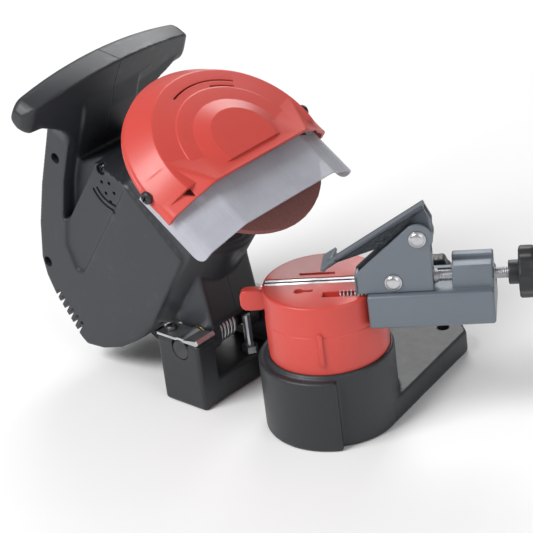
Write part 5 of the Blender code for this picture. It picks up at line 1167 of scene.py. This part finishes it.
@dataclass
class Turntable:
    """The red turntable with its fin, pointer, pockets and a faint step round its side."""

    radius: float = 0.0326
    top: float = 0.083
    low: float = 0.0363
    hollow_radius: float = 0.0286
    hollow_top: float = 0.062
    boss: float = 0.010
    edge: float = 0.0016
    step_at: float = 0.0655
    step: float = 0.0003
    beam_start: float = 0.0258
    beam_front: float = 0.026
    beam_back: float = 0.008
    fin_reach: float = 0.045
    fin_span: Point2 = (0.068, 0.080)
    fin_half: float = 0.003
    pointer_half: float = 0.00135
    pointer_rise: float = 0.0012
    pointer_span: Point2 = (0.049, 0.068)
    beam_floor: float = 0.0657
    tongue_start: float = -0.0183
    tongue_half: float = 0.0123
    tongue_span: Point2 = (0.0662, 0.071)
    nut_radius: float = 0.0068
    nut_span: Point2 = (0.0707, 0.0764)
    bolt_span: Point2 = (0.034, 0.0665)
    jaw_start: float = -0.0313
    jaw_half: float = 0.0035
    jaw_floor: float = 0.0762
    spring_start: float = 0.0015
    spring_sides: Point2 = (-0.0195, -0.0135)
    spring_floor: float = 0.0792
    slot_low: Point2 = (-0.013, 0.0065)
    slot_high: Point2 = (0.006, 0.0090)
    slot_depth: float = 0.0025
    keyhole_at: Point2 = (-0.0115, -0.0115)
    keyhole_radius: float = 0.0026
    keyhole_depth: float = 0.0022
    overrun: float = 0.002

    def build(self) -> None:
        """Moulds the turntable."""
        path = [(0.0, self.low), (self.radius, self.low), (self.radius, self.step_at - self.step),
                (self.radius - self.step, self.step_at), (self.radius - self.step, self.top), (0.0, self.top)]
        body = turned([path[0]] + eased(path[1:-1], self.edge * 0.2, 2)[:-1] +
                      eased([path[3], path[4], path[5]], self.edge, 5)[1:], "Z", 128)
        hollow = turned([(self.boss, self.low - self.overrun), (self.hollow_radius, self.low - self.overrun),
                         (self.hollow_radius, self.hollow_top), (self.boss, self.hollow_top)], "Z", 96)
        combined(body, "DIFFERENCE", hollow)
        tip, root, (low, high) = -self.fin_reach, -self.radius + self.overrun, self.fin_span
        fin = rounded(((tip, low), (root, low), (root, high), (tip, high)), 0.0045, 6)
        combined(body, "UNION", softened(prism(fin, -self.fin_half, self.fin_half, Plane.XZ), 0.0009, 3))
        half, (low, high) = self.pointer_half, self.pointer_span
        pointer = block((-half, -self.radius - self.pointer_rise, low), (half, -self.radius + self.overrun, high))
        softened(pointer, 0.0005, 2)
        combined(body, "UNION", pointer)
        top = self.top + self.overrun
        rooms = [
            block((self.beam_start - GAP, -self.beam_front - GAP, self.beam_floor),
                  (self.radius * 1.1, self.beam_back + GAP, top)),
            block((self.tongue_start, -self.tongue_half, self.tongue_span[0]),
                  (self.beam_start, self.tongue_half, self.tongue_span[1])),
            bar(self.nut_radius, *self.nut_span, "Z", 32),
            bar(BOLT_HOLE, *self.bolt_span, "Z", 32),
            block((self.jaw_start, -self.jaw_half, self.jaw_floor), (self.beam_start, self.jaw_half, top)),
            block((self.spring_start, self.spring_sides[0], self.spring_floor),
                  (self.beam_start, self.spring_sides[1], top)),
            self.keyhole(top),
            block((*self.slot_low, self.top - self.slot_depth), (*self.slot_high, top)),
        ]
        combined(body, "DIFFERENCE", *rooms)
        TABLE.put(body, "turntable_moulding", Finish.RED_PLASTIC, "turntable")

    def keyhole(self, top: float) -> bpy.types.Object:
        """The shallow keyhole pocket beside the jaws."""
        path = arc(self.keyhole_at, self.keyhole_radius, math.radians(25), math.radians(335), 18)
        path += [(-0.0040, -0.0126), (-0.0040, -0.0104)]
        return prism(path, self.top - self.keyhole_depth, top)


@dataclass
class Knobs:
    """The three black knobs, each with finger lobes and a domed face."""

    crown_shares: tuple[Point2, ...] = (
        (1.0, 1.0), (0.985, 0.7), (0.94, 0.42), (0.84, 0.2), (0.60, 0.06), (0.2, 0.0))

    def lobed_knob(self, radius: float, share: float, lobes: int, low: float, high: float, crown: float,
                   axis: str) -> bpy.types.Object:
        """A knob with finger lobes, rounded over at its face.

        Args:
            radius: Its radius.
            share: Depth of the lobes as a share of the radius.
            lobes: How many there are.
            low: Where it starts.
            high: Where its crown ends.
            crown: Height of the crown.
            axis: Its axis.

        Returns:
            The knob.
        """
        rings = []
        levels = [(0.94, low), (1.0, low + crown * 0.3)]
        levels += [(scale, high - crown * down) for scale, down in self.crown_shares]
        for scale, level in levels:
            fade = share * (1.0 if scale > 0.9 else 0.35)
            ring = lobed(radius * scale, fade, lobes, 96)
            rings.append([(a, b, level) for a, b in ring])
        knob = lofted(rings)
        if axis == "X":
            spun(knob, math.pi / 2, "Y")
        elif axis == "Y":
            spun(knob, -math.pi / 2, "X")
        return knob

    def build(self) -> None:
        """Moulds the knobs."""
        grip = self.lobed_knob(0.0137, 0.06, 10, 0.1045, 0.1138, 0.0030, "X")
        hub = soft_bar(0.0063, 0.099, 0.1065, 0.0008, "X", 48)
        combined(grip, "UNION", hub)
        bore = bar(SCREW_HOLE, 0.098, 0.1084, "X", 32)
        combined(grip, "DIFFERENCE", bore)
        shifted(grip, (0.0, -0.0165, 0.091))
        ADJUSTER.put(grip, "adjusting_grip", Finish.BLACK_PLASTIC, "adjusting_knob")
        small = self.lobed_knob(0.0075, 0.14, 6, 0.010, 0.019, 0.002, "Y")
        bore = bar(PIN_HOLE, 0.009, 0.0148, "Y", 24)
        combined(small, "DIFFERENCE", bore)
        JAW_CLAMP.put(shifted(small, (0.060, 0.0, 0.0797)), "jaw_grip", Finish.BLACK_PLASTIC, "jaw_knob")
        star = self.lobed_knob(0.022, 0.14, 5, 0.008, 0.0261, 0.003, "Z")
        combined(star, "UNION", bar(0.009, 0.010, 0.0282, "Z", 48))
        combined(star, "DIFFERENCE", bar(BOLT_HOLE, 0.006, 0.031, "Z", 32))
        KNOB.put(star, "clamp_star_knob", Finish.BLACK_PLASTIC, "clamp_knob")


@dataclass
class Base:
    """The cast base: cup, flange, hinge bar and blocks in one skin with soft corners, and its small steel."""

    cup_at: float = 0.079
    cup_radius: float = 0.0347
    cup_height: float = 0.044
    cup_room: float = 0.030
    cup_floor: float = 0.030
    floor_top: float = 0.036
    rim_radius: float = 0.033
    sector_radius: float = 0.039
    sector_height: float = 0.0416
    sector: Point2 = (-200.0, -45.0)
    flange_top: float = 0.0137
    flange_wall: float = 0.004
    flange_tip: Point2 = (0.0197, 0.0918)
    flange_end: float = 0.098
    flange_near: float = 0.012
    corner: float = 0.008
    bar: Point2 = (-0.0177, 0.0137)
    bar_height: float = 0.0158
    block_span: Point2 = (0.0216, 0.036)
    block_height: float = 0.0407
    pin_height: float = 0.0357
    pin_radius: float = 0.00575
    bolts: tuple[Point2, Point2] = ((0.0852, 0.0876), (0.0252, 0.0876))
    bolt_radius: float = 0.0035
    strap_at: float = 0.0288
    strap_half: float = 0.0069
    strap_sheet: float = 0.0015
    strap_rear: float = -0.0172
    strap_lip: float = 0.0117
    lip_radii: Point2 = (0.0030, 0.0016)
    strap_screw: float = -0.0123
    strap_hole: float = 0.0020
    strap_thread: float = 0.0284
    stop_at: Point2 = (0.0092, 0.0085)
    stop_hole: float = 0.0028
    stop_floor: float = 0.0077
    boss_radius: float = 0.0078
    voxel: float = 0.0008
    smoothing: int = 4
    gap: float = GAP
    overrun: float = 0.002

    def outline(self, inset: float) -> list[Point2]:
        """Outline of the flange, drawn in by a distance."""
        tip = self.flange_tip
        tangent = math.atan2(tip[1], tip[0]) - math.acos(self.cup_radius / math.hypot(*tip))
        radius = self.cup_radius - inset
        touch = (self.cup_at + radius * math.cos(tangent), radius * math.sin(tangent))
        end, rear, near = self.flange_end - inset, self.bar[0] + inset, self.flange_near + inset
        lean = inset * 1.05
        return [touch, (self.cup_at + tip[0] - lean, tip[1] - inset * 0.4),
                (self.cup_at + tip[0] - self.corner - inset * 0.4, end), (rear + self.corner, end),
                (rear, end - self.corner), (rear, near), (self.cup_at - self.cup_radius / 2, near),
                (self.cup_at, near)]

    def casting(self) -> bpy.types.Object:
        """The casting."""
        flange = softened(prism(rounded(self.outline(0.0), 0.003, 4), 0.0, self.flange_top), 0.0018, 3)
        low, high = self.bar
        inner, outer = self.block_span
        solids = [flange, softened(block((low, -outer, 0.0), (high, outer, self.bar_height)), 0.0015, 2)]
        for side in (-1, 1):
            near, far = sorted((side * inner, side * outer))
            solids.append(softened(block((low, near, 0.0), (high, far, self.block_height)), 0.0018, 3))
        centre = (self.cup_at, 0.0, 0.0)
        cup = soft_bar(self.cup_radius, 0.0, self.cup_height, 0.0012, "Z", 128)
        start, end = (math.radians(angle) for angle in self.sector)
        slice_path = [(0.0, 0.0)] + arc((0.0, 0.0), self.sector_radius, start, end, 60)
        piece = softened(prism(slice_path, 0.0, self.sector_height), 0.0012, 3)
        solids += [shifted(cup, centre), shifted(piece, centre)]
        for x, y in self.bolts:
            boss = bar(self.boss_radius, 0.0, self.flange_top - 0.0016, "Z", 48)
            solids.append(shifted(boss, (x, y, 0.0)))
        skin = fused(solids, self.voxel, self.smoothing)
        return trimmed(skin, "DIFFERENCE", *self.rooms())

    def bore(self, radius: float, low: float, high: float, place: Point2, steps: int = 48) -> bpy.types.Object:
        """A round cutter along Z."""
        return shifted(bar(radius, low, high, "Z", steps), (*place, 0.0))

    def rooms(self) -> list[bpy.types.Object]:
        """What the casting is hollowed by: the cup, the underside, the bolt holes and the pin's seat."""
        over = self.overrun
        middle = (self.cup_at, 0.0)
        inner = rounded(self.outline(self.flange_wall), 0.002, 3)
        hollow = prism(inner, -over, self.flange_top - self.flange_wall)
        keep = [self.bore(self.cup_radius - 0.001, -over * 2, self.flange_top, middle, 96)]
        keep += [self.bore(self.boss_radius, -over * 2, self.flange_top, place) for place in self.bolts]
        keep.append(block((self.bar[0] - over, -self.block_span[1], -over * 2),
                          (self.bar[1], self.block_span[1] + 0.001, self.flange_top)))
        combined(hollow, "DIFFERENCE", *keep)
        rooms = [hollow, self.bore(self.cup_room, -over, self.cup_floor, middle, 96),
                 self.bore(self.rim_radius, self.floor_top, self.cup_height + over, middle, 128),
                 self.bore(BOLT_HOLE, self.cup_floor - over, self.floor_top + over, middle, 32)]
        rooms += [self.bore(self.bolt_radius, -over, self.flange_top + over, place) for place in self.bolts]
        reach, end = self.pin_radius + self.gap, self.block_span[1] + over
        seat = bar(reach, -end, end, "Y", 48)
        rooms.append(shifted(seat, (0.0, 0.0, self.pin_height)))
        rooms.append(block((-reach, -end, self.pin_height), (reach, end, self.block_height + over)))
        for side in (-1, 1):
            place = (self.strap_screw, side * self.strap_at)
            rooms.append(self.bore(self.strap_hole, self.strap_thread, self.block_height + over, place, 24))
        rooms.append(self.bore(self.stop_hole, self.stop_floor, self.bar_height + over, self.stop_at, 24))
        return rooms

    def straps(self) -> None:
        """The bent saddle straps with their screws."""
        low, sheet = self.block_height + self.gap, self.strap_sheet
        inner, outer = self.pin_radius + self.gap, self.pin_radius + self.gap + sheet
        foot = math.asin((low - self.pin_height) / inner)
        foot_out = math.asin((low + sheet - self.pin_height) / outer)
        over = arc((0.0, self.pin_height), inner, math.pi - foot, foot, 20)
        back = arc((0.0, self.pin_height), outer, foot_out, math.pi - foot_out, 20)
        wide, narrow = self.lip_radii
        centre = (self.strap_lip, low + sheet + wide)
        lip = arc(centre, wide, -math.pi / 2, -0.35, 6)
        lip_in = arc(centre, narrow, -0.35, -math.pi / 2, 6)
        outline = [(self.strap_rear, low)] + over + [(self.strap_lip, low)] + [(a, b - sheet) for a, b in lip[1:]]
        outline += lip_in + back + [(self.strap_rear, low + sheet)]
        for label, side in (("near", -1), ("far", 1)):
            middle = side * self.strap_at
            strap = prism(outline, middle - self.strap_half, middle + self.strap_half, Plane.XZ)
            place = (self.strap_screw, middle)
            hole = self.bore(self.strap_hole, low - self.overrun, low + sheet + self.overrun, place, 24)
            combined(strap, "DIFFERENCE", hole)
            BASE.put(strap, f"bent_strap_{label}", Finish.BRIGHT_STEEL, f"saddle_strap_{label}")
            screw = cross_head(0.0033, 0.0022, 0.012, 0.0017, "Z", 0.0018)
            shifted(screw, (self.strap_screw, middle, low + sheet + self.gap))
            BASE.put(screw, f"strap_cross_screw_{label}", Finish.DARK_STEEL, f"strap_screw_{label}")

    def build(self) -> None:
        """Casts the base and fits its steel."""
        BASE.put(self.casting(), "base_skin", Finish.BLACK_CASTING, "base_casting")
        self.straps()
        end = self.block_span[1]
        pin = soft_bar(self.pin_radius, -end, end, 0.0008, "Y", 64)
        BASE.put(shifted(pin, (0.0, 0.0, self.pin_height)), "hinge_bar", Finish.DARK_STEEL, "hinge_pin")


@dataclass
class Vise:
    """The grey vise: beam with screw block, folded carriage, rivets, stop lever, jaws and adjusting screw."""

    start: float = 0.0258
    end: float = 0.0914
    front: float = -0.026
    back: float = 0.008
    low: float = 0.066
    top: float = 0.085
    middle: float = -0.0165
    half: float = 0.006
    sheet: float = 0.002
    block_start: float = 0.070
    block_top: float = 0.098
    ledge_top: float = 0.100
    ear_start: float = 0.020
    ear_end: float = 0.0605
    ear_top: float = 0.0958
    web_top: float = 0.104
    pivot: Point2 = (0.0543, 0.1154)
    ear_radius: float = 0.008
    rivet: Point2 = (0.040, 0.0913)
    rise: float = 0.091
    gap: float = GAP
    overrun: float = 0.002
    lever_tip: Point2 = (0.006, 0.1015)
    lever_tail: Point2 = (0.058, 0.133)
    lever_tail_low: Point2 = (0.062, 0.124)
    lever_sheet: float = 0.0015
    lever_shares: tuple[Point2, ...] = ((0.075, 0.080), (0.575, 0.300), (0.790, 0.330))

    def beam(self) -> None:
        """The beam casting with its tongue, screw block and ledge."""
        body = softened(block((self.start, self.front, self.low), (self.end, self.back, self.top)), 0.0016, 4)
        tongue = softened(block((-0.018, -0.012, 0.0665), (self.start + 0.004, 0.008, 0.0707)), 0.0004, 2)
        start, root = self.block_start, self.top - 0.004
        screw_block = softened(block((start, -0.021, root), (self.end, -0.010, self.block_top)), 0.0012, 4)
        ledge = softened(block((start, -0.012, root), (self.end, -0.006, self.ledge_top)), 0.0010, 4)
        combined(body, "UNION", tongue, screw_block, ledge)
        over = self.overrun
        thread = bar(SCREW_HOLE, self.block_start - over, self.end + over, "X", 32)
        clamp = bar(PIN_HOLE, 0.0, self.back + over, "Y", 24)
        bolt = bar(BOLT_HOLE, 0.0645, 0.0727, "Z", 32)
        combined(
            body, "DIFFERENCE",
            block((self.start - over, -0.0035, 0.0762), (self.end + over, 0.0035, self.ledge_top)),
            block((self.start - over, self.middle - 0.003, 0.079),
                  (0.0575, self.middle + 0.003, self.top + over)),
            shifted(thread, (0.0, self.middle, self.rise)), shifted(clamp, (0.060, 0.0, 0.0797)), bolt)
        TABLE.put(body, "vise_beam", Finish.GREY_PAINT, "vise_body")

    def carriage(self) -> None:
        """The folded carriage with rolled bends and two domed rivets."""
        low = self.top + self.gap
        front, back = self.middle - self.half, self.middle + self.half
        ear = [(self.ear_start, low), (self.ear_end, low), (self.ear_end, self.pivot[1] - self.ear_radius / 2)]
        ear += arc(self.pivot, self.ear_radius, math.radians(-20), math.radians(122), 24)
        ear.append((self.ear_start, self.ear_top))
        body = softened(prism(ear, front, front + self.sheet, Plane.XZ), 0.0003, 2)
        parts = [
            softened(prism(ear, back - self.sheet, back, Plane.XZ), 0.0003, 2),
            block((self.ear_start, front + 0.0004, low), (self.ear_end, back - 0.0004, low + 0.0012)),
            *(softened(block((start, front, low), (start + self.sheet, back, top)), 0.0005, 3)
              for start, top in ((self.ear_end - self.sheet, self.web_top), (self.ear_start, self.ear_top))),
            block((0.0345, self.middle - 0.0026, 0.0794), (0.050, self.middle + 0.0026, low + 0.0006)),
        ]
        combined(body, "UNION", *parts)
        over = self.overrun
        hole = bar(SCREW_HOLE, self.ear_end - self.sheet - over, self.ear_end + over, "X", 32)
        cuts = [shifted(hole, (0.0, self.middle, self.rise))]
        for x, z in (self.rivet, self.pivot):
            bore = bar(PIN_HOLE, front - over, back + over, "Y", 32)
            cuts.append(shifted(bore, (x, 0.0, z)))
        combined(body, "DIFFERENCE", *cuts)
        CARRIAGE.put(body, "folded_carriage", Finish.GREY_PAINT, "carriage")
        for name, node, place in (("domed_rivet_low", "carriage_rivet", self.rivet),
                                  ("domed_rivet_high", "lever_rivet", self.pivot)):
            rivet = shifted(self.domed_rivet(), (place[0], self.middle, place[1]))
            CARRIAGE.put(rivet, name, Finish.BRIGHT_STEEL, node)

    def domed_rivet(self) -> bpy.types.Object:
        """A rivet with a domed head and a thin brim on each side."""
        start = self.half + self.gap
        head = [(0.0020, start), (0.0045, start), (0.0045, start + 0.0004), (0.0038, start + 0.0006),
                (0.0035, start + 0.0010), (0.0026, start + 0.0014), (0.0014, start + 0.00158),
                (0.0, start + 0.0016)]
        profile = [(radius, -station) for radius, station in reversed(head)] + head
        return turned(profile, "Y", 48)

    def lever(self) -> None:
        """The folded chain stop lever."""
        pivot, tip, tail = Vector(self.pivot), Vector(self.lever_tip), Vector(self.lever_tail)
        span = tail - tip
        play = self.half - self.sheet - self.gap
        outline = [tuple(tip), tuple(tail), self.lever_tail_low]
        outline += arc(self.pivot, self.ear_radius, math.radians(20), math.radians(-160), 24)
        outline += [(tip.x + a * span.x, tip.y + b * span.y) for a, b in reversed(self.lever_shares)]
        body = prism(outline, -play, -play + self.lever_sheet, Plane.XZ)
        along = span.normalized()
        down = Vector((along.y, -along.x)) * self.lever_sheet
        plate = [tuple(tip), tuple(tail), tuple(tail + down), tuple(tip + down)]
        reach = tip - along * 0.004
        nose = [tuple(reach), tuple(tip + along * 0.004), tuple(tip + along * 0.004 + down), tuple(reach + down)]
        edge = 0.0135
        far, foot = reach.x + self.lever_sheet, reach.y - 0.005
        tab = [tuple(reach), (far, reach.y), (far, foot), (reach.x, foot)]
        combined(body, "UNION", prism(outline, play - self.lever_sheet, play, Plane.XZ),
                 prism(plate, -play, play, Plane.XZ), prism(nose, -play, edge, Plane.XZ),
                 prism(tab, play, edge, Plane.XZ))
        hole = bar(PIN_HOLE, -play - 0.002, play + 0.002, "Y", 32)
        combined(body, "DIFFERENCE", shifted(hole, (pivot.x, 0.0, pivot.y)))
        LEVER.put(shifted(body, (0.0, self.middle, 0.0)), "folded_lever", Finish.GREY_PAINT, "stop_lever")

    def screw(self) -> None:
        """The adjusting screw with its rolled thread."""
        pitch, radius, depth = 0.001, 0.003, 0.00035
        core, station = radius - depth, 0.0630
        path = [(0.0, 0.0520), (core, 0.0520), (core, 0.0564), (0.0037, 0.0564), (0.0037, 0.0582),
                (radius, 0.0582), (radius, station)]
        while station < 0.0985:
            path += [(core, station + pitch * 0.3), (radius, station + pitch * 0.75), (radius, station + pitch)]
            station += pitch
        path += [(radius, 0.1081), (0.0, 0.1081)]
        thread = turned(path, "X", 40)
        ADJUSTER.put(shifted(thread, (0.0, self.middle, self.rise)), "rolled_screw", Finish.BRIGHT_STEEL,
                     "adjusting_screw")

    def build(self) -> None:
        """Builds the vise."""
        self.beam()
        self.carriage()
        self.lever()
        self.screw()


def coil(radius: float, pitch: float, turns: float, start: float, per_turn: int = 28) -> list[Point3]:
    """Points of a helix about X, from station zero."""
    count = int(turns * per_turn)
    return [(pitch * i / per_turn, radius * math.cos(start + math.tau * i / per_turn),
             radius * math.sin(start + math.tau * i / per_turn)) for i in range(count + 1)]


@dataclass
class Springs:
    """The round wire springs."""

    return_wire: float = 0.0009
    return_radius: float = 0.0074
    return_turns: int = 5
    return_pitch: float = 0.0026
    return_start: float = -0.0110
    return_arm: float = 0.0150
    pin_height: float = 0.0357
    bar_height: float = 0.0158
    small_wire: float = 0.00035
    small_radius: float = 0.0024
    small_turns: int = 12
    small_length: float = 0.0240
    small_end: float = 0.0342
    small_middle: float = 0.0165
    small_rise: float = 0.08205

    def build(self) -> None:
        """Winds both springs."""
        points = [(b, self.return_start + a, c + self.pin_height)
                  for a, b, c in coil(self.return_radius, self.return_pitch, self.return_turns, math.pi)]
        first, last = points[0], points[-1]
        rest = self.bar_height + self.return_wire + GAP
        down = [(first[0], first[1], rest), (first[0], first[1], (rest + self.pin_height) / 2)]
        up = [(last[0], last[1], last[2] + self.return_arm / 2),
              (last[0] + self.return_radius / 2, last[1], last[2] + self.return_arm)]
        BASE.put(wire(down + points + up, self.return_wire), "return_spring_wire", Finish.BRIGHT_STEEL,
                 "head_return_spring")
        pitch = (self.small_length - 2 * self.small_wire) / self.small_turns
        start = self.small_end - self.small_length + self.small_wire
        turns = [(start + x, y - self.small_middle, z + self.small_rise)
                 for x, y, z in coil(self.small_radius, pitch, self.small_turns, 0.0)]
        CARRIAGE.put(wire(turns, self.small_wire), "play_spring_wire", Finish.BRIGHT_STEEL, "carriage_spring")


@dataclass
class Studio:
    """Floor, lamps, sky and the camera at the photograph's angle."""

    azimuth: float = math.radians(45.0)
    elevation: float = math.radians(26.7)
    roll: float = math.radians(7.4)
    aim: Point3 = (0.039, 0.0, 0.081)
    field_width: float = 0.288
    distance: float = 1.2
    floor_half: float = 6.0

    def build(self) -> None:
        """Sets the whole stage."""
        self.floor()
        self.sky()
        self.lamps()
        self.camera()
        bpy.context.scene.view_settings.view_transform = "Standard"

    def floor(self) -> None:
        """The pale floor, which keeps the shadow."""
        half = self.floor_half
        bm = bmesh.new()
        corners = ((-half, -half), (half, -half), (half, half), (-half, half))
        bm.faces.new([bm.verts.new((x, y, 0.0)) for x, y in corners])
        ground = made(bm, "floor")
        board = Board("floor_finish")
        soft = board.noise(9.0, 4.0)
        tone = board.blend(soft * 0.4, (0.93, 0.93, 0.93), (0.90, 0.90, 0.905))
        board.feed(board.shader.inputs["Base Color"], tone)
        board.plain(Roughness=0.9, Specular_IOR_Level=0.1)
        ground.data.materials.append(board.material)

    def sky(self) -> None:
        """An even sky that is white to the eye."""
        world = bpy.data.worlds.new("sky")
        bpy.context.scene.world = world
        world.use_nodes = True
        tree = world.node_tree
        tree.nodes.clear()
        path = tree.nodes.new("ShaderNodeLightPath")
        light, seen = (tree.nodes.new("ShaderNodeBackground") for _ in range(2))
        light.inputs["Strength"].default_value = 0.34
        seen.inputs["Strength"].default_value = 1.0
        mix = tree.nodes.new("ShaderNodeMixShader")
        out = tree.nodes.new("ShaderNodeOutputWorld")
        tree.links.new(path.outputs["Is Camera Ray"], mix.inputs[0])
        tree.links.new(light.outputs[0], mix.inputs[1])
        tree.links.new(seen.outputs[0], mix.inputs[2])
        tree.links.new(mix.outputs[0], out.inputs["Surface"])

    def lamp(self, name: str, place: Point3, size: float, watts: float) -> None:
        """One soft square lamp, turned to the object."""
        data = bpy.data.lights.new(name, "AREA")
        data.shape = "SQUARE"
        data.size = size
        data.energy = watts
        thing = bpy.data.objects.new(name, data)
        bpy.context.scene.collection.objects.link(thing)
        thing.location = place
        aim = Vector(self.aim) - Vector(place)
        thing.rotation_euler = aim.to_track_quat("-Z", "Y").to_euler()

    def lamps(self) -> None:
        """Key lamp high on the left, fill on the right, and a rim lamp behind."""
        self.lamp("key", (-0.30, -1.05, 1.20), 0.7, 21.0)
        self.lamp("fill", (1.20, -0.25, 0.65), 0.9, 4.5)
        self.lamp("rim", (-0.60, 0.95, 0.90), 0.7, 8.0)

    def camera(self) -> None:
        """The camera, a long lens at the photograph's angle and roll."""
        data = bpy.data.cameras.new("camera")
        data.sensor_width = 36.0
        data.lens = 36.0 * self.distance / self.field_width
        data.clip_start = 0.05
        data.clip_end = 50.0
        thing = bpy.data.objects.new("camera", data)
        bpy.context.scene.collection.objects.link(thing)
        bpy.context.scene.camera = thing
        flat = math.cos(self.elevation)
        back = Vector((math.sin(self.azimuth) * flat, -math.cos(self.azimuth) * flat, math.sin(self.elevation)))
        thing.location = Vector(self.aim) + back * self.distance
        turn = (-back).to_track_quat("-Z", "Y").to_matrix()
        thing.rotation_euler = (turn @ Matrix.Rotation(-self.roll, 3, "Z")).to_euler()


def main() -> None:
    """Builds the looks in order and reports each sub-assembly."""
    logging.basicConfig(level=logging.INFO, format="%(name)s: %(message)s")
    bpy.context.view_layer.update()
    for part in (Studio(), PackedNodes(), Base(), Housing(), Guard(), Shield(), Wheel(), Turntable(), Vise(),
                 Knobs(), Springs()):
        part.build()
        LOG.info("%s done", type(part).__name__)


if __name__ == "__main__":
    main()
